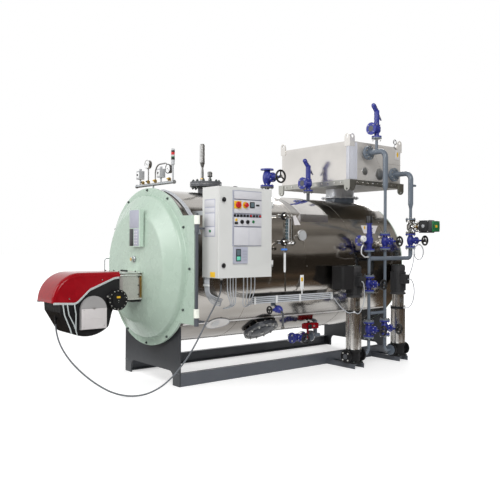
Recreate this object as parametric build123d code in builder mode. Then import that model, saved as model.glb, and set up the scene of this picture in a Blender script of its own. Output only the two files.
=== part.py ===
from build123d import *
import math
import os

os.makedirs("parts", exist_ok=True)

# Fire-tube steam boiler with its burner, feed pumps, economizer and control cabinet, on one skid.
# Millimetres. The origin is the centre of the anchor holes, on the floor under the boiler's axis.
# X runs along the boiler: the burner door is at -X, the rear end at +X. The cabinet is on the -Y side.
# Places along X are given from the skid's front face.

# General clearances
seat_gap = 0.3          # between pieces that rest against each other
moving_gap = 6.0        # between pieces that move past each other
running_gap = 0.08      # round a pin or a spindle

# Skid
skid_length = 2970.0
skid_inset = 235.0      # from the shell's side to the skid's
beam_height = 120.0
beam_flange = 55.0
beam_web = 7.0
beam_flange_thickness = 9.0
saddle_thickness = 15.0
saddle_leg_width = 117.0
saddle_notch_height = 130.0
saddle_notch_radius = 60.0
anchor_hole_radius = 9.0
anchor_inset_x = 185.0   # from the skid's ends
anchor_inset_y = 30.0   # from the beam's outer face
bearer_height = 50.0
bearer_leg = 40.0
bearer_thickness = 6.0
bearer_spread = 150.0   # between the backs of the two bearers under a pump
bearer_reach = 85.0     # beyond the pump's axis

# Boiler body
axis_z = 1100.0
shell_radius = 750.0
shell_wall = 110.0
shell_inset = 25.0      # from the skid's rear end to the shell's
tube_plate_thickness = 25.0
furnace_drop = 172.0     # from the boiler's axis to the furnace's
furnace_radius = 300.0
furnace_wall = 14.0
furnace_inset = 445.0    # from the shell's rear end to the furnace's
furnace_end_thickness = 16.0
smoke_tube_radius = 30.0
smoke_tube_socket = 12.0     # depth of a tube end in the tube plate
smoke_tube_rows = ((80.0, 9, 130.0), (165.0, 11, 140.0))  # beyond the furnace, count, degrees
rear_plate_thickness = 15.0
rear_cover_radius = 260.0
rear_cover_thickness = 30.0

# Front door
door_rim_overhang = 15.0     # beyond the shell
door_rim_thickness = 22.0
door_gap = 1.0          # seal line between the tube plate and the door
dish_base_inset = 53.0       # from the shell's radius
dish_side_inset = 66.0
dish_side_depth = 48.0
dish_crown_inset = 225.0
dish_crown_depth = 143.0
dish_depth = 153.0
dish_side_round = 26.0
dish_crown_round = 60.0
door_chamber_inset = 150.0
door_chamber_depth = 88.0
ear_overhang = 64.0     # from the shell's side to the ear's free edge
ear_height = (-495.0, 478.0)     # from the boiler's axis
hinge_overhang = 88.0   # from the shell's side to the pin
hinge_pin_radius = 14.0
hinge_block_radius = 26.0
hinge_block_length = 78.0
hinge_block_height = (-389.0, 436.0)     # from the boiler's axis
hinge_bracket_radius = 20.0
hinge_bracket_length = 74.0
hinge_arm_thickness = 16.0
hinge_arm_width = 24.0
hinge_arm_length = 60.0
sight_glass_y = -25.0
sight_glass_height = 74.0
sight_glass_outline = ((30.0, 0.0), (30.0, 12.0), (22.0, 16.0), (22.0, 34.0), (17.0, 38.0))
instrument_box_y = (-196.0, 2.0)
instrument_box_height = (192.0, 548.0)
instrument_box_depth = 40.0
instrument_box_round = 6.0
handle_y = 600.0
handle_height = (-65.0, 65.0)
handle_stand_off = 152.0
handle_wire_radius = 6.0

# Burner
burner_half_width = 190.0
burner_body_half_width = 178.0
mount_half_width = 160.0
mount_front_x = -440.0
mount_height = (-123.0, 122.0)    # from the furnace's axis
mount_round = 45.0
mount_rail = 7.0
blast_tube_radius = 92.0
blast_tube_reach = 180.0     # beyond the door's rim, into the furnace
blast_tube_wall = 8.0
blast_tube_recess = 90.0
body_under = ((0, -68), (75, -228), (110, -368), (290, -434), (450, -398), (565, -208), (570, -138))
body_seam = ((425, -128), (300, -13), (60, 82), (0, 88))
body_round = 24.0
hood_top = 136.0             # from the furnace's axis
hood_flat = 380.0
hood_length = 638.0
hood_lip = -122.0
hood_round = 38.0
side_panel_radius = 125.0
side_panel_x = -705.0
side_panel_height = (-368.0, -198.0)
side_panel_depth = 26.0
side_plate_half = 108.0
side_plate_height = (-352.0, -182.0)
side_plate_depth = 8.0
damper_radius = 95.0
damper_x = -478.0
damper_height = -119.0
damper_depth = 38.0
damper_hub_radius = 62.0
damper_hub_depth = 6.0
cable_radius = 7.0
cable_gland_radius = 11.0
cable_gland_x = -975.0  # where the cable leaves the burner's underside
cable_gland_height = -288.0

# Fittings on top of the shell
header_x = 35.0
header_lift = 58.0      # from the shell's top to the header's axis
header_radius = 15.0
header_cap_radius = 19.0
header_cap_length = 14.0
header_y = (-356.0, 360.0)
header_stub_y = 29.0
stub_radius = 9.0
gauge_places = ((126.0, 207.0), (-264.0, 130.0))     # y, and height above the header
gauge_radius = 42.0
gauge_case_depth = 32.0
gauge_bezel_radius = 46.0
gauge_bezel_depth = 10.0
gauge_wire_radius = 7.0
siphon_y = (-7.0, -232.0)
siphon_height = 190.0
siphon_bend = 88.0
switch_places = ((286.0, 67.0), (-114.0, 57.0))
switch_half_width = 30.0
switch_height = 85.0
switch_cap_radius = 14.0
switch_cap_height = 22.0
transmitter_y = -328.0
transmitter_neck = 150.0
transmitter_radius = 17.0
transmitter_height = 150.0
probe_x = 650.0
probe_neck_radius = 84.0
probe_flange_radius = 165.0
probe_flange_lift = 65.0
probe_flange_thickness = 26.0
long_probe_offset = -46.0
short_probe_offset = 52.0
long_probe = ((24, 0), (24, 26), (15, 30), (15, 140), (13, 142), (13, 150), (27, 200), (27, 385), (22, 392))
short_probe = ((20, 0), (20, 40), (13, 44), (13, 56), (26, 62), (26, 108), (20, 114))
steam_x = 1495.0
steam_nozzle_lift = 121.0
steam_nozzle_radius = 24.0
steam_valve_length = 200.0
steam_flange_radius = 75.0
steam_flange_thickness = 17.0
steam_bolt_circle = 110.0
steam_bolt_hole_radius = 9.0
steam_spindle_reach = 240.0
steam_wheel_radius = 74.0
steam_body_radius = 52.0
shell_safety_x = 2140.0
shell_safety_lift = 103.0
safety_neck_radius = 20.0
safety_inlet_radius = 57.0
safety_outlet_radius = 70.0
safety_outlet_reach = 100.0
safety_body_radius = 46.0
safety_body_height = 92.0    # from the inlet's face to the outlet's axis
safety_bonnet_radius = 30.0
safety_bonnet_height = 308.0
safety_cap_radius = 27.0
safety_cap_length = 104.0
safety_cap_lean = 40.0        # degrees from upright, towards the outlet
safety_lever_length = 118.0
safety_lever_width = 20.0
safety_lever_thickness = 6.0

# Economizer
economizer_x = 2283.0
economizer_length = 927.0
economizer_width = 1160.0
economizer_centre_y = 52.0
economizer_lift = 159.0     # from the shell's top
economizer_height = 503.0
economizer_frame_height = 60.0
economizer_frame_overhang = 18.0
economizer_corner = 14.0
lug_width = 84.0
lug_height = 86.0
lug_thickness = 8.0
lug_hole_radius = 17.0
lug_tail = 60.0             # down the casing's side
foot_plate_width = 90.0
foot_plate_height = 130.0
foot_hole_radius = 12.0
economizer_lid_inset = 80.0
economizer_lid_height = 12.0
duct_radius = 174.0
duct_flange_radius = 234.0
duct_flange_thickness = 6.0
duct_flange_drop = 107.0    # from the economizer's underside

# Feed line
pump_stand_off = 88.0        # from the shell's side to the pumps' axis
pump_x = (2015.0, 2771.0)
pump_port_z = 128.0
pump_port_reach = 125.0
pump_port_radius = 70.0
pump_port_thickness = 18.0
pump_port_neck = 40.0
pump_base_half = 74.0
pump_base_height = 16.0
pump_sleeve_radius = 70.0
pump_base_top_z = 198.0
pump_shoulder_height = 26.0
pump_sleeve_top_z = 590.0
pump_head_height = 30.0
pump_head_radius = 84.0
pump_lantern_top_z = 757.0
pump_lantern_radius = 66.0
pump_lantern_window = 72.0
pump_coupling_radius = 30.0
pump_motor_radius = 80.0
pump_motor_flange_radius = 86.0
pump_motor_flange = 16.0
pump_motor_cowl = 62.0
pump_motor_top_z = 1095.0
terminal_box_half = 48.0
terminal_box_z = (880.0, 985.0)
terminal_box_depth = 44.0
tie_rod_radius = 6.0
tie_rod_gap = 1.0
tie_rod_circle = pump_sleeve_radius + tie_rod_gap + tie_rod_radius
drive_box_x = (-300.0, -112.0)   # from the pump's axis
drive_box_y = (-118.0, 58.0)
drive_box_z = (855.0, 1095.0)
drive_box_round = 34.0
drive_neck_half = 34.0
drive_neck_z = (900.0, 1030.0)
near_pipe_x = 2262.0
far_pipe_x = 2534.0
right_pipe_x = 2998.0
small_pipe_radius = 17.0
cross_pipe_radius = 24.0
large_pipe_radius = 30.0
small_bend = 60.0
large_bend = 76.0
valve_length = 160.0
valve_flange_radius = 58.0
valve_flange_thickness = 16.0
valve_body_radius = 42.0
spindle_radius = 8.0
spindle_reach = 212.0
wheel_radius = 58.0
wheel_rim = 8.5
wheel_hub_radius = 17.0
wheel_hub_length = 20.0
wheel_spoke_width = 15.0
wheel_spoke_thickness = 8.0
wheel_inset = 12.0      # from the spindle's end
low_valve_z = 392.0
near_mid_valve_z = 891.0
far_top_valve_z = 1362.0
relief_foot_z = 1262.0
control_valve_z = 1534.0
control_bonnet_radius = 60.0
control_bonnet_length = 92.0
control_yoke_length = 64.0
control_yoke_bar = 9.0
control_yoke_inset = 13.0
control_yoke_ring = 12.0
control_stem_radius = 10.0
actuator_length = 202.0
actuator_half_height = 72.0
actuator_half_width = 58.0
actuator_round = 18.0
actuator_cap_length = 66.0
actuator_cap_half = 60.0
link_pipe_z = 566.0
cross_pipe_z = 1170.0
economizer_inlet_height = 376.0      # from the economizer's underside
economizer_outlet_height = 156.0
nozzle_flange_radius = 80.0
nozzle_flange_thickness = 17.0
nozzle_stand_off = 48.0      # from the casing to the first flange
reducer_z = (1930.0, 1745.0)
reducer_length = 55.0
drain_drop = 143.0           # from the outlet pipe's axis to its side tap
drain_reach = 58.0
drain_radius = 9.0
drain_nut_radius = 14.0
drain_nut_length = 34.0
relief_tee_offset = 181.0    # from the casing
relief_tee_height = 148.0
relief_valve_height = 290.0
relief_body_height = 104.0
relief_outlet_reach = 165.0
relief_bonnet_radius = (34.0, 26.0)
relief_rib_height = (190.0, 235.0)
relief_rib_width = 9.0
relief_rib_depth = 5.0
relief_cap_radius = 34.0
relief_cap_height = 82.0

# Cabinet
cabinet_width = 600.0
cabinet_height = 800.0
cabinet_depth = 250.0
cabinet_wall = 4.0
cabinet_x = 50.0
cabinet_stand_off = 48.0     # from the shell's side
cabinet_bottom_z = 1026.0
cabinet_door_thickness = 18.0
cabinet_door_gap = 3.0
cabinet_pin_radius = 5.0
cabinet_knuckle_radius = 9.0
cabinet_knuckle_length = 40.0
cabinet_knuckle_gap = 1.0
cabinet_hinge_inset = 110.0
cabinet_leaf = 6.0
cabinet_strap_width = 40.0
cabinet_strap_inset = 90.0
cabinet_strap_drop = 240.0
upper_plate_x = (144.0, 474.0)       # from the cabinet's side
upper_plate_height = (279.0, 772.0)  # from its underside
plate_thickness = 4.0
lower_plate_x = (150.0, 310.0)
lower_plate_height = (126.0, 272.0)
lower_plate_thickness = 12.0
lock_x = 44.0
lock_height = (111.0, 683.0)
lock_radius = 16.0
lock_depth = 14.0
panel_gland_x = 176.0   # where the burner's cable enters the cabinet
panel_gland_inset = 117.0            # from the cabinet's back
panel_gland_length = 24.0

# Cable tray and level gauge
tray_inset = 22.0       # from the shell's side
tray_thickness = 3.0
tray_z = (745.0, 815.0)
tray_x = (690.0, 1640.0)
tray_arm_inset = 60.0
tray_arm_width = 40.0
tray_arm_thickness = 8.0
tray_arm_z = 780.0
tray_cable_radius = 6.4
tray_cable_pitch = 18.5
tray_cable_inset = 10.0
tray_cable_count = 4
tray_cable_tail = 150.0      # beyond the tray, towards the pumps

# Control cables: thin leads between cabinet, tray, pumps and the gauge header
lead_radius = 5.0
lead_spacing = 15.0
lead_end_run = 22.0          # straight at each end
wall_lead_count = 5
wall_lead_inset = (20.0, 16.0)       # of the first, from the cabinet's side and back
front_lead_x = (190.0, 222.0, 254.0, 286.0)  # from the cabinet's side
front_lead_inset = 122.0     # from the cabinet's back
lead_drop = 142.0
lead_entry_x = 262.0
lead_entry_z = -268.0        # below the cabinet
lead_entry_depth = 30.0
tray_lead_x = 376.0
tray_lead_pitch = 44.0
tray_lead_bottom = 302.0
header_lead_count = 4
header_lead_x = 16.0
header_lead_pitch = 12.0
header_lead_slant = 6.5
header_lead_angles = (78.0, 72.0, 65.0, 58.0, 51.0, 44.0, 37.0, 30.0, 24.0)
# Points of the pumps' leads between their ends, from the pump's axis at its head's underside
tray_lead_way = ((-170, 40, 70), (-128, -40, 2))
near_lead_way = ((-50, -112, -8), (-8, -128, 60), (18, -134, 150), (12, -138, 240), (-14, -150, 320))
far_lead_way = ((40, -150, 345), (104, -136, 290), (130, -132, 200), (112, -128, 90), (66, -112, 14))
coil_lead_way = ((203, -66, 560), (159, -68, 442))
coil_radius = 88.0
coil_offset = 75.0           # from the right feed pipe's axis
coil_z = 1238.0
level_gauge_x = 1003.0
level_gauge_stand_off = 100.0
level_cock_z = (1344.0, 1596.0)
level_cock_radius = 14.0
level_body_radius = 17.0
level_body_length = (110.0, 96.0)
level_glass_half_width = 24.0
level_glass_depth = (24.0, 10.0)
level_glass_inset = 6.0
level_column_radius = 13.0
level_column_offset = 88.0
level_column_overhang = 24.0
level_wheel_offset = 62.0    # from the glass, on the cabinet's side
level_wheel_reach = 52.0
level_wheel_radius = 38.0
level_wheel_thickness = 14.0
shell_dial_x = 1293.0
shell_dial_y = -790.0
shell_dial_z = 1414.0
shell_dial_radius = 56.0
shell_dial_thickness = 22.0
shell_dial_stem = 11.0
level_drain_radius = 8.0
level_drain_length = 480.0

# Blowdown
blowdown_x = 1590.0
blowdown_y = -400.0
blowdown_drop = 40.0    # below the shell
blowdown_reach = 150.0
blowdown_pipe_radius = 22.0
blowdown_pipe_length = 260.0
blowdown_joint = 110.0
blowdown_riser = 200.0
quick_valve_offset = 136.0
quick_bracket_half = 12.0
quick_bracket_thickness = 10.0
quick_box_lift = 92.0
quick_box_length = 190.0
quick_box_depth = 70.0
quick_box_height = 60.0
quick_box_round = 12.0
quick_knob_offset = -40.0
quick_knob_radius = 18.0
quick_knob_length = 16.0

# Covers on the shell's underside
mud_cover_x = 1060.0
mud_cover_y = -400.0
mud_cover_radius = 185.0
mud_cover_neck_radius = 135.0
mud_cover_neck = 14.0
mud_cover_thickness = 34.0

# Burner cable: the points that its route turns at, from the burner's gland to the cabinet's
cable_route = (
    (-975, 0, 640),
    (-975, 0, 560),
    (-958, -52, 425),
    (-912, -150, 300),
    (-845, -262, 195),
    (-762, -375, 105),
    (-668, -478, 38),
    (-565, -572, 9),
    (-458, -660, 20),
    (-358, -730, 72),
    (-272, -782, 150),
    (-198, -822, 245),
    (-125, -852, 350),
    (-58, -872, 465),
    (2, -886, 580),
    (60, -898, 692),
    (124, -909, 800),
    (176, -915, 905),
    (176, -915, 1002),
)

# Worked out from the sizes above
front = -skid_length / 2
boiler_axis = Axis((0, 0, axis_z), (1, 0, 0))
skid_half_width = shell_radius - skid_inset
anchor_spacing_x = skid_length - 2 * anchor_inset_x
shell_length = skid_length - shell_inset
shell_end = front + shell_length
shell_top_z = axis_z + shell_radius
furnace_axis_z = axis_z - furnace_drop
furnace_length = shell_length - furnace_inset
plate_face_x = front - seat_gap - tube_plate_thickness
rim_back_x = plate_face_x - door_gap
rim_front_x = rim_back_x - door_rim_thickness
dish_face_x = rim_front_x - dish_depth
pin_x = rim_front_x + door_rim_thickness / 2
pin_y = -shell_radius - hinge_overhang
ear_reach = shell_radius + ear_overhang
pump_y = -shell_radius - pump_stand_off
economizer_bottom_z = shell_top_z + economizer_lift
eco_x0 = front + economizer_x
eco_x1 = eco_x0 + economizer_length
eco_y0 = economizer_centre_y - economizer_width / 2
eco_y1 = eco_y0 + economizer_width
eco_z0 = economizer_bottom_z + economizer_frame_height
eco_z1 = economizer_bottom_z + economizer_height
cab_x0 = front + cabinet_x
cab_x1 = cab_x0 + cabinet_width
cab_back = -shell_radius - cabinet_stand_off
cab_front = cab_back - cabinet_depth + cabinet_door_thickness + cabinet_door_gap
cab_z0 = cabinet_bottom_z
cab_z1 = cab_z0 + cabinet_height


def bar(x0, x1, y0, y1, z0, z1, mode=Mode.ADD):
    """A block between two corners."""
    with Locations(((x0 + x1) / 2, (y0 + y1) / 2, (z0 + z1) / 2)):
        Box(abs(x1 - x0), abs(y1 - y0), abs(z1 - z0), mode=mode)


def rod(start, direction, radius, length, mode=Mode.ADD):
    """A round bar that starts at a point and runs along a direction."""
    with Locations(Plane(origin=start, z_dir=direction)):
        Cylinder(radius, length, align=(Align.CENTER, Align.CENTER, Align.MIN), mode=mode)


def cone(start, direction, radius_a, radius_b, length, mode=Mode.ADD):
    """A taper that starts at a point and runs along a direction."""
    with Locations(Plane(origin=start, z_dir=direction)):
        Cone(radius_a, radius_b, length, align=(Align.CENTER, Align.CENTER, Align.MIN), mode=mode)


def pipe(points, radius, bend):
    """A round pipe along straight runs with bends of one radius."""
    with BuildLine() as route:
        if len(points) > 2:
            FilletPolyline(*points, radius=bend)
        else:
            Line(*points)
    with BuildSketch(Plane(origin=points[0], z_dir=route.line % 0)) as section:
        Circle(radius)
    sweep(section.sketch, path=route.line)


def turned(start, direction, side, outline, mode=Mode.ADD):
    """A turned piece. The outline's points are (radius, distance along the direction)."""
    start = Vector(start)
    direction = Vector(direction)
    plane = Plane(origin=start, x_dir=side, z_dir=Vector(side).cross(direction))
    with BuildSketch(plane) as section:
        with BuildLine():
            Polyline((0, outline[0][1]), *outline, (0, outline[-1][1]), close=True)
        make_face()
    revolve(section.sketch, axis=Axis(start, direction), mode=mode)


def cut_to_shell():
    """Takes away what would reach into the boiler's shell."""
    with Locations(Plane(origin=(0, 0, axis_z), z_dir=(1, 0, 0))):
        Cylinder(shell_radius + seat_gap, 2 * skid_length, mode=Mode.SUBTRACT)


def bolt_holes(centre, direction, circle, count, radius, depth):
    """A ring of holes through a flange whose middle is at the centre."""
    with Locations(Plane(origin=centre, z_dir=direction)):
        with PolarLocations(circle / 2, count, start_angle=180 / count):
            Cylinder(radius, depth, mode=Mode.SUBTRACT)


def save(piece, name):
    piece.part.label = name
    export_step(piece.part, f"parts/{name}.step")


# Skid beams: channels on edge, open side inwards, with anchor holes in the lower flange
with BuildPart() as skid_beams:
    for side in (-1, 1):
        outer_y = side * skid_half_width
        with BuildSketch(Plane.YZ.offset(front + saddle_thickness + seat_gap)):
            with BuildLine():
                Polyline(
                    (outer_y, 0),
                    (outer_y - side * beam_flange, 0),
                    (outer_y - side * beam_flange, beam_flange_thickness),
                    (outer_y - side * beam_web, beam_flange_thickness),
                    (outer_y - side * beam_web, beam_height - beam_flange_thickness),
                    (outer_y - side * beam_flange, beam_height - beam_flange_thickness),
                    (outer_y - side * beam_flange, beam_height),
                    (outer_y, beam_height),
                    close=True,
                )
            make_face()
        extrude(amount=skid_length - 2 * (saddle_thickness + seat_gap))
        with Locations((0, outer_y - side * anchor_inset_y, 0)):
            with GridLocations(anchor_spacing_x, 1, 2, 1):
                Cylinder(anchor_hole_radius, 3 * beam_flange_thickness, mode=Mode.SUBTRACT)
save(skid_beams, "skid_beams")


# Saddle plates: one at each end, cut to the shell above and arched below
def saddle_plate(start_x, name):
    with BuildPart() as plate:
        with BuildSketch(Plane.YZ.offset(start_x)):
            with Locations((0, axis_z / 2)):
                Rectangle(2 * skid_half_width, axis_z)
            with Locations((0, axis_z)):
                Circle(shell_radius + seat_gap, mode=Mode.SUBTRACT)
            with Locations((0, saddle_notch_height / 2)):
                Rectangle(
                    2 * (skid_half_width - saddle_leg_width),
                    saddle_notch_height,
                    mode=Mode.SUBTRACT,
                )
        extrude(amount=saddle_thickness)
        corners = plate.edges().filter_by(Axis.X).filter_by(
            lambda e: abs(e.center().Z - saddle_notch_height) < 1
        )
        fillet(corners, radius=saddle_notch_radius)
    save(plate, name)


saddle_plate(front, "front_saddle_plate")
saddle_plate(front + skid_length - saddle_thickness, "rear_saddle_plate")

# Pump bearers: two angles under each pump, beside the near skid beam
with BuildPart() as pump_bearers:
    for centre in pump_x:
        for side in (-1, 1):
            back_x = front + centre + side * bearer_spread / 2
            end_y = pump_y - bearer_reach
            start_y = -skid_half_width - seat_gap
            under_z = bearer_height - bearer_thickness
            bar(back_x, back_x - side * bearer_thickness, end_y, start_y, 0, bearer_height)
            bar(back_x, back_x - side * bearer_leg, end_y, start_y, under_z, bearer_height)
save(pump_bearers, "pump_bearers")

# Boiler shell: clad and insulated drum, open at both ends
with BuildPart() as boiler_shell:
    with BuildSketch(Plane.YZ.offset(front)):
        with Locations((0, axis_z)):
            Circle(shell_radius)
            Circle(shell_radius - shell_wall, mode=Mode.SUBTRACT)
    extrude(amount=shell_length)
save(boiler_shell, "boiler_shell")

# Front tube plate with the furnace mouth and the ends of the smoke tubes
with BuildPart() as front_tube_plate:
    with BuildSketch(Plane.YZ.offset(plate_face_x)):
        with Locations((0, axis_z)):
            Circle(shell_radius)
        with Locations((0, furnace_axis_z)):
            Circle(furnace_radius - furnace_wall, mode=Mode.SUBTRACT)
    extrude(amount=tube_plate_thickness)
    for beyond_furnace, tube_count, spread in smoke_tube_rows:
        row_radius = furnace_radius + beyond_furnace
        step = spread / (tube_count - 1)
        for tube in range(tube_count):
            angle = math.radians(90 - spread / 2 + tube * step)
            tube_y = row_radius * math.cos(angle)
            tube_z = furnace_axis_z + row_radius * math.sin(angle)
            rod((plate_face_x, tube_y, tube_z), (1, 0, 0), smoke_tube_radius, smoke_tube_socket,
                mode=Mode.SUBTRACT)
save(front_tube_plate, "front_tube_plate")

# Furnace: a long cup that opens at the tube plate
with BuildPart() as furnace_tube:
    with BuildSketch(Plane.YZ.offset(front)):
        with Locations((0, furnace_axis_z)):
            Circle(furnace_radius)
            Circle(furnace_radius - furnace_wall, mode=Mode.SUBTRACT)
    extrude(amount=furnace_length)
    with BuildSketch(Plane.YZ.offset(front + furnace_length)):
        with Locations((0, furnace_axis_z)):
            Circle(furnace_radius)
    extrude(amount=furnace_end_thickness)
save(furnace_tube, "furnace_tube")

# Rear end plate with its round access cover
with BuildPart() as rear_end_plate:
    rod((shell_end + seat_gap, 0, axis_z), (1, 0, 0), shell_radius, rear_plate_thickness)
    rod((shell_end + seat_gap, 0, axis_z), (1, 0, 0), rear_cover_radius,
        rear_plate_thickness + rear_cover_thickness)
save(rear_end_plate, "rear_end_plate")

# Mud-hole cover on its neck under the shell
with BuildPart() as mud_hole_cover:
    away = Vector(0, mud_cover_y, -math.sqrt(shell_radius**2 - mud_cover_y**2)).normalized()
    seat = Vector(front + mud_cover_x, 0, axis_z) + away * shell_radius
    rod(seat - away * mud_cover_neck * 2, away, mud_cover_neck_radius, mud_cover_neck * 3)
    rod(seat + away * mud_cover_neck, away, mud_cover_radius, mud_cover_thickness)
    cut_to_shell()
save(mud_hole_cover, "mud_hole_cover")


# Front door: flat rim, deep dish and a square ear towards the hinge
def dish_section(grow):
    """Half of the dish's section, from the boiler's axis outwards."""
    base_z = shell_top_z - dish_base_inset + grow
    with BuildSketch(Plane.XZ) as section:
        with BuildLine():
            FilletPolyline(
                (rim_front_x, base_z),
                (rim_front_x - dish_side_depth - grow, shell_top_z - dish_side_inset + grow),
                (rim_front_x - dish_crown_depth - grow, shell_top_z - dish_crown_inset),
                (dish_face_x - grow, axis_z),
                radius=(dish_side_round, dish_crown_round),
            )
            Polyline((dish_face_x - grow, axis_z), (rim_front_x, axis_z), (rim_front_x, base_z))
        make_face()
    return section.sketch


with BuildPart() as front_door:
    with BuildSketch(Plane.YZ.offset(rim_front_x)):
        with Locations((0, axis_z)):
            Circle(shell_radius + door_rim_overhang)
        with Locations((-ear_reach / 2, axis_z + sum(ear_height) / 2)):
            Rectangle(ear_reach, ear_height[1] - ear_height[0])
    extrude(amount=door_rim_thickness)
    revolve(dish_section(0), axis=boiler_axis)
    rod((rim_back_x, 0, axis_z), (-1, 0, 0), shell_radius - door_chamber_inset, door_chamber_depth,
        mode=Mode.SUBTRACT)
    rod((rim_back_x, 0, furnace_axis_z), (-1, 0, 0), blast_tube_radius + seat_gap,
        2 * dish_depth, mode=Mode.SUBTRACT)
save(front_door, "front_door")

# Hinge barrels on the door's ear, bored for the pin
with BuildPart() as door_hinge_barrels:
    for height in hinge_block_height:
        foot_z = axis_z + height - hinge_block_length / 2
        top_z = foot_z + hinge_block_length
        rod((pin_x, pin_y, foot_z), (0, 0, 1), hinge_block_radius, hinge_block_length)
        rod((pin_x, pin_y, foot_z), (0, 0, 1), hinge_pin_radius + running_gap, hinge_block_length,
            mode=Mode.SUBTRACT)
        bar(rim_front_x - seat_gap, rim_back_x + seat_gap, -ear_reach - seat_gap, -ear_reach / 2,
            foot_z, top_z, mode=Mode.SUBTRACT)
save(door_hinge_barrels, "door_hinge_barrels")

# Hinge post: one long pin on two brackets that reach back to the shell
with BuildPart() as hinge_post:
    for height in hinge_block_height:
        bracket_top = axis_z + height - hinge_block_length / 2 - seat_gap
        arm_z = bracket_top - (hinge_bracket_length + hinge_arm_thickness) / 2
        arm_top = arm_z + hinge_arm_thickness
        arm_x = rim_back_x + moving_gap
        arm_end_x = arm_x + hinge_arm_length
        rod((pin_x, pin_y, bracket_top), (0, 0, -1), hinge_bracket_radius, hinge_bracket_length)
        bar(pin_x, arm_end_x, pin_y - hinge_arm_width / 2, pin_y + hinge_arm_width / 2, arm_z, arm_top)
        bar(arm_x, arm_end_x, pin_y - hinge_arm_width / 2, 0, arm_z, arm_top)
    cut_to_shell()
    pin_foot = axis_z + min(hinge_block_height) - hinge_block_length / 2 - hinge_bracket_length
    pin_top = axis_z + max(hinge_block_height) + hinge_block_length / 2 + hinge_pin_radius
    rod((pin_x, pin_y, pin_foot), (0, 0, 1), hinge_pin_radius, pin_top - pin_foot)
save(hinge_post, "hinge_post")

# Door fittings: the instrument box, the sight glass and the pull handle
with BuildPart() as door_instrument_box:
    box_back_x = dish_face_x - seat_gap
    box_z = [axis_z + height for height in instrument_box_height]
    bar(box_back_x - instrument_box_depth, box_back_x, *instrument_box_y, *box_z)
    fillet(door_instrument_box.edges().filter_by(Axis.X), radius=instrument_box_round)
save(door_instrument_box, "door_instrument_box")

with BuildPart() as door_fittings:
    handle_x = rim_front_x - handle_stand_off
    low_z, high_z = [axis_z + height for height in handle_height]
    pipe([(rim_front_x, handle_y, high_z), (handle_x, handle_y, high_z),
          (handle_x, handle_y, low_z), (rim_front_x, handle_y, low_z)],
         handle_wire_radius, 3 * handle_wire_radius)
    revolve(dish_section(seat_gap), axis=boiler_axis, mode=Mode.SUBTRACT)
    turned((dish_face_x - seat_gap, sight_glass_y, axis_z + sight_glass_height), (-1, 0, 0),
           (0, 1, 0), sight_glass_outline)
save(door_fittings, "door_fittings")

# Burner mount: a sheet-metal box between the door and the burner, with the blast tube through it
mount_back_x = dish_face_x - seat_gap
mount_x = front + mount_front_x
mount_z = [furnace_axis_z + height for height in mount_height]
with BuildPart() as burner_mount:
    bar(mount_x, mount_back_x, -mount_half_width, mount_half_width, *mount_z)
    fillet(burner_mount.edges().filter_by(Axis.Z), radius=mount_round)
    for rail_z in mount_z:
        bar(mount_x, mount_back_x, -mount_half_width - mount_rail, mount_half_width + mount_rail,
            rail_z - mount_rail, rail_z + mount_rail)
    tube_end_x = rim_back_x + blast_tube_reach
    rod((tube_end_x, 0, furnace_axis_z), (-1, 0, 0), blast_tube_radius, tube_end_x - mount_back_x)
    rod((tube_end_x, 0, furnace_axis_z), (-1, 0, 0), blast_tube_radius - blast_tube_wall,
        blast_tube_recess, mode=Mode.SUBTRACT)
save(burner_mount, "burner_mount")


def burner_points(outline, lift=0):
    """Outline points of the burner, from their distance to the mount and their height."""
    return [(mount_x - seat_gap - reach, furnace_axis_z + height + lift) for reach, height in outline]


# Burner body: the cast fan housing under the hood
with BuildPart() as burner_body:
    with BuildSketch(Plane.XZ.offset(-burner_body_half_width)):
        under = burner_points(body_under)
        seam = burner_points(body_seam)
        with BuildLine():
            Polyline(*under[:3])
            ThreePointArc(*under[2:5])
            Polyline(*under[4:])
            Polyline(under[-1], *seam, under[0])
        make_face()
    extrude(amount=2 * burner_body_half_width)
    fillet(burner_body.edges().filter_by(GeomType.CIRCLE), radius=body_round)
    gland_x = front + cable_gland_x
    gland_z = furnace_axis_z + cable_gland_height
    rod((gland_x, 0, gland_z), (0, 0, 1), cable_gland_radius, side_panel_radius)
save(burner_body, "burner_body")

# Burner hood: the moulded cover over the body, round in front and along its shoulders
with BuildPart() as burner_hood:
    with BuildSketch(Plane.XZ.offset(-burner_half_width)):
        lower = burner_points([body_under[-1], *body_seam], lift=seat_gap)
        lip, nose, crest, back = burner_points(
            [(hood_length, hood_lip), (hood_length, hood_lip), (hood_flat, hood_top), (0, hood_top)]
        )
        with BuildLine():
            Polyline(nose, *lower, back, crest)
            TangentArc(crest, nose, tangent=(-1, 0))
        make_face()
    extrude(amount=2 * burner_half_width)
    shoulders = [
        edge
        for edge in burner_hood.edges()
        if abs(abs(edge.center().Y) - burner_half_width) < seat_gap
        and (edge.geom_type == GeomType.CIRCLE or edge.center().Z > furnace_axis_z + hood_top - seat_gap)
    ]
    fillet(shoulders, radius=hood_round)
save(burner_hood, "burner_hood")

# Air inlet panel on the burner's side: round above, with a square plate on it
panel_x = front + side_panel_x
panel_foot, panel_centre = [furnace_axis_z + height for height in side_panel_height]
with BuildPart() as burner_side_panel:
    with BuildSketch(Plane.XZ.offset(burner_body_half_width + seat_gap)):
        with Locations((panel_x, panel_centre)):
            Circle(side_panel_radius)
        with Locations((panel_x, (panel_foot + panel_centre) / 2)):
            Rectangle(2 * side_panel_radius, panel_centre - panel_foot)
    extrude(amount=side_panel_depth)
    plate_y = -burner_body_half_width - side_panel_depth
    plate_z = [furnace_axis_z + height for height in side_plate_height]
    bar(panel_x - side_plate_half, panel_x + side_plate_half, plate_y, plate_y - side_plate_depth,
        *plate_z)
save(burner_side_panel, "burner_side_panel")

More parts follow.
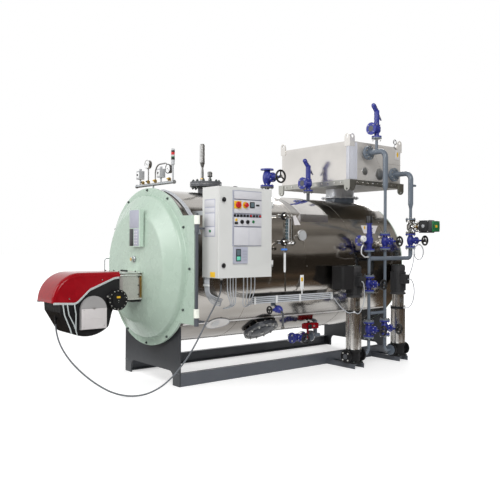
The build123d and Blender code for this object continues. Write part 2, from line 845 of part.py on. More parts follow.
# Round damper cover beside the mount
with BuildPart() as damper_cover:
    damper_foot = Vector(front + damper_x, -burner_half_width - seat_gap, furnace_axis_z + damper_height)
    turned(damper_foot, (0, -1, 0), (1, 0, 0), (
        (damper_radius, 0),
        (damper_radius, damper_depth),
        (damper_hub_radius, damper_depth),
        (damper_hub_radius, damper_depth + damper_hub_depth),
    ))
save(damper_cover, "damper_cover")

# Gauge header: a capped pipe across the shell on a short stub
head_x = front + header_x
header_z = shell_top_z + header_lift
header_seat_z = header_z + header_radius + seat_gap
with BuildPart() as gauge_header:
    rod((head_x, header_y[0], header_z), (0, 1, 0), header_radius, header_y[1] - header_y[0])
    for cap_y in (header_y[0], header_y[1] - header_cap_length):
        rod((head_x, cap_y, header_z), (0, 1, 0), header_cap_radius, header_cap_length)
    rod((head_x, header_stub_y, header_z), (0, 0, -1), stub_radius, header_lift + header_radius)
    cut_to_shell()
save(gauge_header, "gauge_header")

# Pressure gauges: the far one on a straight riser, the near one on an arched siphon pipe
with BuildPart() as pressure_gauges:
    far_place, near_place = gauge_places
    rod((head_x, far_place[0], header_seat_z), (0, 0, 1), gauge_wire_radius, far_place[1])
    siphon_top = header_z + siphon_height
    near_gauge_z = header_z + near_place[1]
    pipe([(head_x, siphon_y[0], header_seat_z), (head_x, siphon_y[0], siphon_top),
          (head_x, siphon_y[1], siphon_top), (head_x, siphon_y[1], near_gauge_z)],
         gauge_wire_radius, [siphon_bend, near_place[1] / 3])
    for gauge_y, gauge_height in gauge_places:
        gauge_foot = Vector(head_x + gauge_case_depth / 2, gauge_y, header_z + gauge_height)
        turned(gauge_foot, (-1, 0, 0), (0, 1, 0), (
            (gauge_radius, 0),
            (gauge_radius, gauge_case_depth - gauge_bezel_depth),
            (gauge_bezel_radius, gauge_case_depth - gauge_bezel_depth),
            (gauge_bezel_radius, gauge_case_depth),
        ))
save(pressure_gauges, "pressure_gauges")

# Pressure switches and the transmitter on the header
with BuildPart() as pressure_sensors:
    for switch_y, switch_lift in switch_places:
        foot_z = header_z + switch_lift
        rod((head_x, switch_y, header_seat_z), (0, 0, 1), stub_radius, switch_lift)
        bar(head_x - switch_half_width, head_x + switch_half_width, switch_y - switch_half_width,
            switch_y + switch_half_width, foot_z, foot_z + switch_height)
        rod((head_x, switch_y, foot_z + switch_height), (0, 0, 1), switch_cap_radius,
            switch_cap_height)
    rod((head_x, transmitter_y, header_seat_z), (0, 0, 1), stub_radius, transmitter_neck)
    rod((head_x, transmitter_y, header_seat_z + transmitter_neck), (0, 0, 1), transmitter_radius,
        transmitter_height)
save(pressure_sensors, "pressure_sensors")

# Blind flange on the probe nozzle, and the level probes on it
nozzle_x = front + probe_x
probe_flange_z = shell_top_z + probe_flange_lift
blind_z = probe_flange_z + probe_flange_thickness + seat_gap
with BuildPart() as level_probes:
    probe_foot_z = blind_z + probe_flange_thickness + seat_gap
    turned((nozzle_x + long_probe_offset, 0, probe_foot_z), (0, 0, 1), (1, 0, 0), long_probe)
    turned((nozzle_x + short_probe_offset, 0, probe_foot_z), (0, 0, 1), (1, 0, 0), short_probe)
save(level_probes, "level_probes")


# Globe valves: a bellied body between two flanges, with bonnet, yoke and spindle to one side
def globe_valve(centre, axis, spindle, length, flange_radius, body_radius, reach):
    """A flanged globe valve. Its axis runs through both flanges."""
    centre = Vector(centre)
    axis = Vector(axis)
    spindle = Vector(spindle)
    half_length = length / 2
    neck = 0.62 * body_radius
    belly_start = half_length - 1.6 * valve_flange_thickness
    plane = Plane(origin=centre, x_dir=spindle, z_dir=spindle.cross(axis))
    with BuildSketch(plane) as section:
        with BuildLine():
            Polyline(
                (neck, -belly_start),
                (neck, -half_length + valve_flange_thickness),
                (flange_radius, -half_length + valve_flange_thickness),
                (flange_radius, -half_length),
                (0, -half_length),
                (0, half_length),
                (flange_radius, half_length),
                (flange_radius, half_length - valve_flange_thickness),
                (neck, half_length - valve_flange_thickness),
                (neck, belly_start),
            )
            ThreePointArc((neck, belly_start), (body_radius, 0), (neck, -belly_start))
        make_face()
    revolve(section.sketch, axis=Axis(centre, axis))
    bonnet = 0.36 * reach
    yoke_end = 0.72 * reach
    rod(centre, spindle, 0.78 * body_radius, bonnet)
    rod(centre + spindle * bonnet, spindle, 1.05 * body_radius, 0.06 * reach)
    cone(centre + spindle * bonnet, spindle, 0.7 * body_radius, 0.4 * body_radius, 0.2 * reach)
    side = spindle.cross(axis)
    for arm in (-1, 1):
        foot = centre + spindle * bonnet + side * (arm * 0.52 * body_radius)
        rod(foot, spindle, 0.14 * body_radius, yoke_end - bonnet)
    with Locations(Plane(origin=centre + spindle * yoke_end, x_dir=side, z_dir=spindle)):
        Box(1.36 * body_radius, 0.5 * body_radius, 0.06 * reach)
    rod(centre, spindle, spindle_radius, reach)


def handwheel(centre, spindle, radius):
    """A three-spoke wheel with a bored hub."""
    centre = Vector(centre)
    spindle = Vector(spindle)
    with Locations(Plane(origin=centre, x_dir=(0, 0, 1), z_dir=spindle)):
        Torus(radius - wheel_rim, wheel_rim)
        Cylinder(wheel_hub_radius, wheel_hub_length)
        with PolarLocations((radius - wheel_rim) / 2, 3):
            Box(radius - wheel_rim, wheel_spoke_width, wheel_spoke_thickness)
    rod(centre - spindle * wheel_hub_length, spindle, spindle_radius + running_gap,
        2 * wheel_hub_length, mode=Mode.SUBTRACT)


valve_x = front + steam_x
steam_nozzle_z = shell_top_z + steam_nozzle_lift
steam_centre = Vector(valve_x, 0, steam_nozzle_z + steam_valve_length / 2)
with BuildPart() as steam_valve:
    globe_valve(steam_centre, (0, 0, 1), (0, -1, 0), steam_valve_length, steam_flange_radius,
                steam_body_radius, steam_spindle_reach)
    bolt_holes((valve_x, 0, steam_nozzle_z + steam_valve_length), (0, 0, 1), steam_bolt_circle, 4,
               steam_bolt_hole_radius, 2 * steam_flange_thickness)
save(steam_valve, "steam_valve")

with BuildPart() as steam_handwheel:
    handwheel(steam_centre - Vector(0, steam_spindle_reach - wheel_inset, 0), (0, -1, 0),
              steam_wheel_radius)
save(steam_handwheel, "steam_handwheel")


# Safety valves: inlet flange below, side outlet, spring bonnet and a lever over the cap
def safety_valve(foot, outlet):
    foot = Vector(foot)
    outlet = Vector(outlet)
    up = Vector(0, 0, 1)
    turned(foot, up, outlet, (
        (safety_inlet_radius, 0),
        (safety_inlet_radius, valve_flange_thickness),
        (0.5 * safety_inlet_radius, valve_flange_thickness),
        (0.5 * safety_inlet_radius, 0.5 * safety_body_height),
        (safety_body_radius, 0.75 * safety_body_height),
        (safety_body_radius, 1.3 * safety_body_height),
        (1.35 * safety_bonnet_radius, 1.36 * safety_body_height),
        (1.35 * safety_bonnet_radius, 1.55 * safety_body_height),
        (safety_bonnet_radius, 1.6 * safety_body_height),
        (safety_bonnet_radius, safety_bonnet_height),
    ))
    body = foot + up * safety_body_height
    rod(body, outlet, 0.66 * safety_outlet_radius, safety_outlet_reach)
    rod(body + outlet * (safety_outlet_reach - valve_flange_thickness), outlet, safety_outlet_radius,
        valve_flange_thickness)
    side = outlet.cross(up)
    angle = math.radians(safety_cap_lean)
    lean = outlet * math.sin(angle) + up * math.cos(angle)
    cap_foot = foot + up * (safety_bonnet_height - safety_cap_radius / 2)
    turned(cap_foot, lean, side, (
        (safety_cap_radius, 0),
        (safety_cap_radius, 0.88 * safety_cap_length),
        (0.7 * safety_cap_radius, safety_cap_length),
    ))
    hang = up * -math.cos(angle) - outlet * math.sin(angle)
    with Locations(Plane(origin=cap_foot + hang * (safety_lever_length / 2), x_dir=side, z_dir=hang)):
        Box(safety_lever_width, safety_lever_thickness, safety_lever_length)


shell_safety_z = shell_top_z + shell_safety_lift
safety_x = front + shell_safety_x
with BuildPart() as shell_nozzles:
    rod((nozzle_x, 0, probe_flange_z), (0, 0, -1), probe_neck_radius, probe_flange_lift + probe_neck_radius)
    rod((nozzle_x, 0, probe_flange_z), (0, 0, 1), probe_flange_radius, probe_flange_thickness)
    rod((nozzle_x, 0, blind_z), (0, 0, 1), probe_flange_radius, probe_flange_thickness)
    for centre_x, top_z, flange, neck in (
        (valve_x, steam_nozzle_z, steam_flange_radius, steam_nozzle_radius),
        (safety_x, shell_safety_z, safety_inlet_radius, safety_neck_radius),
    ):
        rod((centre_x, 0, top_z - seat_gap), (0, 0, -1), flange, valve_flange_thickness)
        rod((centre_x, 0, top_z - seat_gap), (0, 0, -1), neck, top_z - shell_top_z + neck)
    cut_to_shell()
save(shell_nozzles, "shell_nozzles")


# Economizer: casing with a lid and lifting lugs, its bolted frame and the duct below
def corner_plates(corner_x, corner_y, inward_x, inward_y, low_z, high_z, width, hole_z, hole_radius):
    """Two plates that meet at a corner, each with a hole near its free end."""
    thickness = lug_thickness
    radius = width / 2
    at_top = hole_z > (low_z + high_z) / 2
    plate_low = low_z if at_top else low_z + radius
    plate_high = high_z - radius if at_top else high_z
    round_z = plate_high if at_top else plate_low
    for along_x in (True, False):
        reach_x = inward_x * (width if along_x else thickness)
        reach_y = inward_y * (thickness if along_x else width)
        bar(corner_x, corner_x + reach_x, corner_y, corner_y + reach_y, plate_low, plate_high)
        hole = Vector(corner_x + reach_x / 2, corner_y + reach_y / 2, hole_z)
        across = Vector(0, 1, 0) if along_x else Vector(1, 0, 0)
        rod(Vector(hole.X, hole.Y, round_z) - across * (thickness / 2), across, radius, thickness)
        rod(hole - across * thickness, across, hole_radius, 2 * thickness, mode=Mode.SUBTRACT)


with BuildPart() as economizer_casing:
    bar(eco_x0, eco_x1, eco_y0, eco_y1, eco_z0 + seat_gap, eco_z1)
    fillet(economizer_casing.edges().filter_by(Axis.Z), radius=economizer_corner)
    lid = economizer_lid_inset
    bar(eco_x0 + lid, eco_x1 - lid, eco_y0 + lid, eco_y1 - lid, eco_z1, eco_z1 + economizer_lid_height)
    for corner_x, inward_x in ((eco_x0, 1), (eco_x1, -1)):
        for corner_y, inward_y in ((eco_y0, 1), (eco_y1, -1)):
            corner_plates(
                corner_x - inward_x * lug_thickness,
                corner_y - inward_y * lug_thickness,
                inward_x,
                inward_y,
                eco_z1 - lug_tail,
                eco_z1 + lug_height,
                lug_width,
                eco_z1 + lug_height - 1.8 * lug_hole_radius,
                lug_hole_radius,
            )
save(economizer_casing, "economizer_casing")

with BuildPart() as economizer_frame:
    over = economizer_frame_overhang
    frame_x0 = eco_x0 - over
    frame_x1 = eco_x1 + over
    frame_y0 = eco_y0 - over
    frame_y1 = eco_y1 + over
    bar(frame_x0, frame_x1, frame_y0, frame_y1, economizer_bottom_z, eco_z0)
    foot_z = economizer_bottom_z - foot_plate_height + economizer_frame_height
    for corner_x, inward_x in ((frame_x0, 1), (frame_x1, -1)):
        for corner_y, inward_y in ((frame_y0, 1), (frame_y1, -1)):
            corner_plates(
                corner_x - inward_x * lug_thickness,
                corner_y - inward_y * lug_thickness,
                inward_x,
                inward_y,
                foot_z,
                foot_z + foot_plate_height,
                foot_plate_width,
                foot_z + 2 * foot_hole_radius,
                foot_hole_radius,
            )
save(economizer_frame, "economizer_frame")

duct_x = (eco_x0 + eco_x1) / 2
with BuildPart() as flue_duct:
    duct_top = economizer_bottom_z - seat_gap
    flange_z = economizer_bottom_z - duct_flange_drop
    rod((duct_x, economizer_centre_y, duct_top), (0, 0, -1), duct_radius, economizer_lift + duct_radius / 2)
    rod((duct_x, economizer_centre_y, flange_z - duct_flange_thickness), (0, 0, 1), duct_flange_radius,
        2 * duct_flange_thickness)
    cut_to_shell()
save(flue_duct, "flue_duct")

# Feed line: every bare pipe and its welded flanges
near_x = front + near_pipe_x
far_x = front + far_pipe_x
right_x = front + right_pipe_x
half_valve = valve_length / 2
relief_outlet_z = relief_foot_z + relief_body_height
right_valve_z = control_valve_z - valve_length - seat_gap


def weld_flange(centre, direction):
    """A pipe's flange that looks along the direction at the face it is bolted to."""
    direction = Vector(direction)
    rod(Vector(centre) - direction * (valve_flange_thickness + seat_gap), direction,
        valve_flange_radius, valve_flange_thickness)


def riser(centre_x, low_face, high_face):
    """A straight pipe between two bolted faces, one above the other."""
    low_z = low_face + seat_gap
    rod((centre_x, pump_y, low_z), (0, 0, 1), small_pipe_radius, high_face - seat_gap - low_z)
    weld_flange((centre_x, pump_y, low_face), (0, 0, -1))
    weld_flange((centre_x, pump_y, high_face), (0, 0, 1))


def suction_bend(port_x, side, pipe_x, high_face):
    """A pipe from a pump's port, round a bend and up to a bolted face."""
    pipe([(port_x + side * seat_gap, pump_y, pump_port_z), (pipe_x, pump_y, pump_port_z),
          (pipe_x, pump_y, high_face - seat_gap)], small_pipe_radius, small_bend)
    weld_flange((port_x, pump_y, pump_port_z), (-side, 0, 0))
    weld_flange((pipe_x, pump_y, high_face), (0, 0, 1))


with BuildPart() as near_feed_pipes:
    suction_bend(front + pump_x[0] + pump_port_reach, 1, near_x, low_valve_z - half_valve)
    riser(near_x, low_valve_z + half_valve, near_mid_valve_z - half_valve)
    riser(near_x, near_mid_valve_z + half_valve, relief_foot_z)
    right_foot = right_valve_z - half_valve
    pipe([(near_x, pump_y, cross_pipe_z), (right_x, pump_y, cross_pipe_z),
          (right_x, pump_y, right_foot - seat_gap)], cross_pipe_radius, 2 * cross_pipe_radius)
    weld_flange((right_x, pump_y, right_foot), (0, 0, 1))
    rod((far_x, pump_y, cross_pipe_z - 2 * cross_pipe_radius), (0, 0, 1),
        small_pipe_radius + seat_gap, 4 * cross_pipe_radius, mode=Mode.SUBTRACT)
save(near_feed_pipes, "near_feed_pipes")

with BuildPart() as far_feed_pipes:
    suction_bend(front + pump_x[1] - pump_port_reach, -1, far_x, low_valve_z - half_valve)
    riser(far_x, low_valve_z + half_valve, far_top_valve_z - half_valve)
    link_start = near_x + small_pipe_radius + seat_gap
    rod((link_start, pump_y, link_pipe_z), (1, 0, 0), small_pipe_radius, far_x - link_start)
save(far_feed_pipes, "far_feed_pipes")


def economizer_branch(pipe_x, low_face, reducer_foot, nozzle_z):
    """A riser that widens, bends over to the economizer and ends in a pair of nozzle flanges."""
    low_z = low_face + seat_gap
    wide_z = reducer_foot + reducer_length
    rod((pipe_x, pump_y, low_z), (0, 0, 1), small_pipe_radius, reducer_foot - low_z)
    weld_flange((pipe_x, pump_y, low_face), (0, 0, -1))
    cone((pipe_x, pump_y, reducer_foot), (0, 0, 1), small_pipe_radius, large_pipe_radius, reducer_length)
    pipe([(pipe_x, pump_y, wide_z), (pipe_x, pump_y, nozzle_z), (pipe_x, eco_y0 - seat_gap, nozzle_z)],
         large_pipe_radius, large_bend)
    for flange in (0, 1):
        flange_y = eco_y0 - nozzle_stand_off - flange * (nozzle_flange_thickness + seat_gap)
        rod((pipe_x, flange_y, nozzle_z), (0, -1, 0), nozzle_flange_radius, nozzle_flange_thickness)


inlet_z = economizer_bottom_z + economizer_inlet_height
outlet_z = economizer_bottom_z + economizer_outlet_height
tee_y = eco_y0 - relief_tee_offset
with BuildPart() as economizer_inlet_pipe:
    economizer_branch(far_x, far_top_valve_z + half_valve, reducer_z[0], inlet_z)
    tee_top = inlet_z + relief_tee_height
    rod((far_x, tee_y, inlet_z), (0, 0, 1), small_pipe_radius, relief_tee_height)
    rod((far_x, tee_y, tee_top), (0, 0, 1), valve_flange_radius, valve_flange_thickness)
save(economizer_inlet_pipe, "economizer_inlet_pipe")

with BuildPart() as economizer_outlet_pipe:
    economizer_branch(right_x, control_valve_z + half_valve, reducer_z[1], outlet_z)
    drain_z = outlet_z - drain_drop
    drain_end = large_pipe_radius + drain_reach
    rod((right_x, pump_y, drain_z), (1, 0, 0), drain_radius, drain_end)
    rod((right_x + drain_end, pump_y, drain_z), (-1, 0, 0), drain_nut_radius, drain_nut_length)
save(economizer_outlet_pipe, "economizer_outlet_pipe")

with BuildPart() as safety_valves:
    safety_valve((safety_x, 0, shell_safety_z), (-1, 0, 0))
    safety_valve((far_x, tee_y, tee_top + valve_flange_thickness + seat_gap), (-1, 0, 0))
save(safety_valves, "safety_valves")

# Stop valves of the feed line, one solid each, and their handwheels
feed_valve_places = (
    ("near_low", near_x, low_valve_z),
    ("near_mid", near_x, near_mid_valve_z),
    ("far_low", far_x, low_valve_z),
    ("far_top", far_x, far_top_valve_z),
    ("right", right_x, right_valve_z),
)
with BuildPart() as feed_valves:
    for place, centre_x, centre_z in feed_valve_places:
        globe_valve((centre_x, pump_y, centre_z), (0, 0, 1), (0, -1, 0), valve_length,
                    valve_flange_radius, valve_body_radius, spindle_reach)
save(feed_valves, "feed_valves")

for place, centre_x, centre_z in feed_valve_places:
    with BuildPart() as wheel:
        handwheel((centre_x, pump_y - spindle_reach + wheel_inset, centre_z), (0, -1, 0), wheel_radius)
    save(wheel, f"{place}_handwheel")

# Relief valve at the head of the near feed pipe, with its outlet towards the cabinet
with BuildPart() as relief_valve:
    relief_foot = Vector(near_x, pump_y, relief_foot_z)
    turned(relief_foot, (0, 0, 1), (1, 0, 0), (
        (valve_flange_radius, 0),
        (valve_flange_radius, valve_flange_thickness),
        (0.5 * valve_flange_radius, valve_flange_thickness),
        (0.5 * valve_flange_radius, 0.6 * relief_body_height),
        (valve_body_radius, 0.8 * relief_body_height),
        (valve_body_radius, 1.3 * relief_body_height),
        (relief_bonnet_radius[0], 1.4 * relief_body_height),
        (relief_bonnet_radius[1], relief_valve_height),
        (relief_cap_radius, relief_valve_height),
        (relief_cap_radius, relief_valve_height + relief_cap_height),
    ))
    for rib_height in relief_rib_height:
        rod(relief_foot + Vector(0, 0, rib_height), (0, 0, 1), relief_bonnet_radius[0] + relief_rib_depth,
            relief_rib_width)
    outlet = Vector(near_x, pump_y, relief_outlet_z)
    rod(outlet, (-1, 0, 0), 0.45 * valve_flange_radius, relief_outlet_reach)
    rod(outlet - Vector(relief_outlet_reach, 0, 0), (1, 0, 0), valve_flange_radius, valve_flange_thickness)
save(relief_valve, "relief_valve")

# Control valve between its flanges, its neck and the actuator's housing
with BuildPart() as control_valve:
    control_centre = Vector(right_x, pump_y, control_valve_z)
    turned(control_centre - Vector(0, 0, half_valve), (0, 0, 1), (1, 0, 0), (
        (valve_flange_radius, 0),
        (valve_flange_radius, valve_flange_thickness),
        (0.7 * valve_body_radius, 1.2 * valve_flange_thickness),
        (0.7 * valve_body_radius, 0.4 * half_valve),
        (1.1 * valve_body_radius, 0.7 * half_valve),
        (1.1 * valve_body_radius, 1.3 * half_valve),
        (0.7 * valve_body_radius, 1.6 * half_valve),
        (0.7 * valve_body_radius, valve_length - 1.2 * valve_flange_thickness),
        (valve_flange_radius, valve_length - valve_flange_thickness),
        (valve_flange_radius, valve_length),
    ))
    bonnet_y = control_centre.Y - control_bonnet_length
    yoke_y = bonnet_y - control_yoke_length
    cone(control_centre, (0, -1, 0), 0.9 * valve_body_radius, 0.62 * valve_body_radius,
         control_bonnet_length)
    rod((right_x, bonnet_y, control_valve_z), (0, 1, 0), control_bonnet_radius, valve_flange_thickness)
    rod((right_x, bonnet_y, control_valve_z), (0, -1, 0), control_stem_radius, control_yoke_length)
    rod((right_x, yoke_y, control_valve_z), (0, 1, 0), control_bonnet_radius, control_yoke_ring)
    for side in (-1, 1):
        rod((right_x, bonnet_y, control_valve_z + side * (control_bonnet_radius - control_yoke_inset)),
            (0, -1, 0), control_yoke_bar, control_yoke_length)
save(control_valve, "control_valve")

with BuildPart() as valve_actuator:
    actuator_y = yoke_y - seat_gap
    cap_y = actuator_y - actuator_length + actuator_cap_length
    bar(right_x - actuator_half_width, right_x + actuator_half_width, cap_y, actuator_y,
        control_valve_z - actuator_half_height, control_valve_z + actuator_half_height)
    fillet(valve_actuator.edges().filter_by(Axis.Y), radius=actuator_round)
    with BuildSketch(Plane(origin=(right_x, cap_y, control_valve_z), z_dir=(0, -1, 0))):
        RectangleRounded(2 * actuator_cap_half, 2 * actuator_cap_half, 2 * actuator_round)
    extrude(amount=actuator_cap_length)
save(valve_actuator, "valve_actuator")

# Pump bases: a casting with two flanged ports and a shoulder for the sleeve
base_z = bearer_height + seat_gap
with BuildPart() as pump_bases:
    for centre in pump_x:
        x = front + centre
        with Locations((x, pump_y, base_z + pump_base_height / 2)):
            Box(2 * pump_base_half, 2 * pump_base_half, pump_base_height)
        rod((x, pump_y, base_z), (0, 0, 1), pump_port_radius, pump_base_top_z - base_z)
        rod((x, pump_y, pump_base_top_z), (0, 0, -1), pump_head_radius, pump_shoulder_height)
        for side in (-1, 1):
            rod((x, pump_y, pump_port_z), (side, 0, 0), pump_port_neck, pump_port_reach)
            rod((x + side * pump_port_reach, pump_y, pump_port_z), (-side, 0, 0), pump_port_radius,
                pump_port_thickness)
save(pump_bases, "pump_bases")

# Feed pumps: staged sleeve with tie rods, head and open lantern
with BuildPart() as feed_pumps:
    for centre in pump_x:
        x = front + centre
        sleeve_z = pump_base_top_z + seat_gap
        head_foot = pump_sleeve_top_z
        head_top = pump_sleeve_top_z + pump_head_height
        rod((x, pump_y, sleeve_z), (0, 0, 1), pump_sleeve_radius, head_foot - sleeve_z)
        rod((x, pump_y, head_foot), (0, 0, 1), pump_head_radius, pump_head_height)
        for quarter in range(4):
            angle = math.radians(45 + 90 * quarter)
            rod_x = x + tie_rod_circle * math.cos(angle)
            rod_y = pump_y + tie_rod_circle * math.sin(angle)
            rod((rod_x, rod_y, sleeve_z), (0, 0, 1), tie_rod_radius, head_foot - sleeve_z)
        rod((x, pump_y, head_top), (0, 0, 1), pump_lantern_radius, pump_lantern_top_z - head_top)
        window_z = (head_top + pump_base_height, pump_lantern_top_z - pump_base_height)
        half_window = pump_lantern_window / 2
        bar(x - half_window, x + half_window, pump_y - pump_head_radius, pump_y + pump_head_radius,
            *window_z, mode=Mode.SUBTRACT)
        rod((x, pump_y, head_top), (0, 0, 1), pump_coupling_radius, pump_lantern_top_z - head_top)
save(feed_pumps, "feed_pumps")

# Pump motors: flange, barrel, fan cowl and terminal box
with BuildPart() as pump_motors:
    for centre in pump_x:
        x = front + centre
        foot_z = pump_lantern_top_z + seat_gap
        height = pump_motor_top_z - foot_z
        turned((x, pump_y, foot_z), (0, 0, 1), (1, 0, 0), (
            (pump_motor_flange_radius, 0),
            (pump_motor_flange_radius, pump_motor_flange),
            (0.92 * pump_motor_radius, 2 * pump_motor_flange),
            (0.92 * pump_motor_radius, height - pump_motor_cowl - pump_motor_flange),
            (pump_motor_radius, height - pump_motor_cowl),
            (pump_motor_radius, height - pump_motor_flange),
            (0.8 * pump_motor_radius, height),
        ))
        bar(x - terminal_box_half, x + terminal_box_half, pump_y - pump_motor_radius - terminal_box_depth,
            pump_y, *terminal_box_z)
save(pump_motors, "pump_motors")

# Drive box on the first pump's motor
with BuildPart() as pump_drive_box:
    x = front + pump_x[0]
    bar(x + drive_box_x[0], x + drive_box_x[1], pump_y + drive_box_y[0], pump_y + drive_box_y[1],
        *drive_box_z)
    fillet(pump_drive_box.edges().filter_by(Axis.Z), radius=drive_box_round)
    bar(x + drive_box_x[1], x, pump_y - drive_neck_half, pump_y + drive_neck_half, *drive_neck_z)
    rod((x, pump_y, drive_box_z[0]), (0, 0, 1), pump_motor_radius + seat_gap,
        drive_box_z[1] - drive_box_z[0], mode=Mode.SUBTRACT)
save(pump_drive_box, "pump_drive_box")

# Control cabinet: a folded box with a door on its free side
with BuildPart() as cabinet_box:
    bar(cab_x0, cab_x1, cab_front, cab_back, cab_z0, cab_z1)
    bar(cab_x0 + cabinet_wall, cab_x1 - cabinet_wall, cab_front - cabinet_wall, cab_back - cabinet_wall,
        cab_z0 + cabinet_wall, cab_z1 - cabinet_wall, mode=Mode.SUBTRACT)
    rod((front + panel_gland_x, cab_back - panel_gland_inset, cab_z0), (0, 0, -1), cable_gland_radius,
        panel_gland_length)
save(cabinet_box, "cabinet_box")

cab_door_back = cab_front - cabinet_door_gap
cab_door_face = cab_door_back - cabinet_door_thickness
cab_pin_x = cab_x1 + cabinet_knuckle_radius + cabinet_knuckle_gap
cab_pin_y = cab_door_face
cab_hinge_z = (cab_z0 + cabinet_hinge_inset, cab_z1 - cabinet_hinge_inset - cabinet_knuckle_length)
with BuildPart() as cabinet_door:
    bar(cab_x0, cab_x1, cab_door_face, cab_door_back, cab_z0, cab_z1)
    for hinge_z in cab_hinge_z:
        hinge_top = hinge_z + cabinet_knuckle_length
        bar(cab_x1, cab_pin_x, cab_pin_y, cab_pin_y + cabinet_leaf, hinge_z, hinge_top)
        rod((cab_pin_x, cab_pin_y, hinge_z), (0, 0, 1), cabinet_knuckle_radius, cabinet_knuckle_length)
        rod((cab_pin_x, cab_pin_y, hinge_z), (0, 0, 1), cabinet_pin_radius + running_gap,
            cabinet_knuckle_length, mode=Mode.SUBTRACT)
save(cabinet_door, "cabinet_door")

# Cabinet fixings: four straps back to the shell, and the fixed half of each hinge with its pin
with BuildPart() as cabinet_fixings:
    for strap_z in (cab_z0 + cabinet_strap_inset, cab_z1 - cabinet_strap_drop):
        for strap_x in (cab_x0 + cabinet_strap_inset, cab_x1 - cabinet_strap_inset):
            bar(strap_x - cabinet_strap_width / 2, strap_x + cabinet_strap_width / 2, cab_back + seat_gap,
                0, strap_z, strap_z + cabinet_strap_width)
    cut_to_shell()
    for hinge_z in cab_hinge_z:
        low_z = hinge_z - cabinet_knuckle_length / 2 - cabinet_knuckle_gap
        rod((cab_pin_x, cab_pin_y, low_z), (0, 0, 1), cabinet_pin_radius,
            1.5 * cabinet_knuckle_length + 2 * cabinet_knuckle_gap)
        rod((cab_pin_x, cab_pin_y, low_z), (0, 0, 1), cabinet_knuckle_radius, cabinet_knuckle_length / 2)
        bar(cab_x1 + seat_gap, cab_pin_x + cabinet_leaf / 2, cab_pin_y, cab_front + cabinet_knuckle_length,
            low_z, low_z + cabinet_knuckle_length / 2)
save(cabinet_fixings, "cabinet_fixings")

# Plates and locks on the cabinet's door
with BuildPart() as cabinet_controls:
    plate_face = cab_door_face - seat_gap
    for span_x, span_z, thickness in (
        (upper_plate_x, upper_plate_height, plate_thickness),
        (lower_plate_x, lower_plate_height, lower_plate_thickness),
    ):
        bar(cab_x0 + span_x[0], cab_x0 + span_x[1], plate_face - thickness, plate_face,
            cab_z0 + span_z[0], cab_z0 + span_z[1])
    for height in lock_height:
        rod((cab_x0 + lock_x, plate_face, cab_z0 + height), (0, -1, 0), lock_radius, lock_depth)
save(cabinet_controls, "cabinet_controls")

# Cable tray on three arms, with its cables in front
tray_y = -shell_radius + tray_inset
tray_ends = [front + end for end in tray_x]
with BuildPart() as cable_tray:
    bar(*tray_ends, tray_y - tray_thickness, tray_y, *tray_z)
    arm_places = (tray_ends[0] + tray_arm_inset, sum(tray_ends) / 2, tray_ends[1] - tray_arm_inset)
    for arm_x in arm_places:
        bar(arm_x - tray_arm_width / 2, arm_x + tray_arm_width / 2, tray_y - tray_thickness / 2, 0,
            tray_arm_z - tray_arm_thickness / 2, tray_arm_z + tray_arm_thickness / 2)
    cut_to_shell()
save(cable_tray, "cable_tray")

with BuildPart() as tray_cables:
    cable_y = tray_y - tray_thickness - seat_gap - tray_cable_radius
    for row in range(tray_cable_count):
        cable_z = tray_z[0] + tray_cable_radius + tray_thickness / 2 + row * tray_cable_pitch
        rod((tray_ends[0] + tray_cable_inset, cable_y, cable_z), (1, 0, 0), tray_cable_radius,
            tray_ends[1] - tray_ends[0] - tray_cable_inset + tray_cable_tail)
save(tray_cables, "tray_cables")


def bend_radii(route):
    """The largest arc at each inner point that its two runs allow."""
    radii = []
    for a, b, c in zip(route, route[1:], route[2:]):
        turn = math.radians((b - a).get_angle(c - b))
        shorter = min((b - a).length, (c - b).length)
        radii.append(0.45 * shorter / math.tan(turn / 2))
    return radii


def lead(*route):
    """A thin cable in straight runs and arcs along its points."""
    route = [Vector(point) for point in route]
    with BuildLine() as line:
        FilletPolyline(*route, radius=bend_radii(route))
    with BuildSketch(Plane(origin=route[0], z_dir=line.line % 0)) as section:
        Circle(lead_radius)
    sweep(section.sketch, path=line.line)


def on_shell(x, degrees, lift):
    """A point off the shell's side. 90 degrees is its top, 0 its side towards the pumps."""
    angle = math.radians(degrees)
    return (x, -(shell_radius + lift) * math.cos(angle), axis_z + (shell_radius + lift) * math.sin(angle))


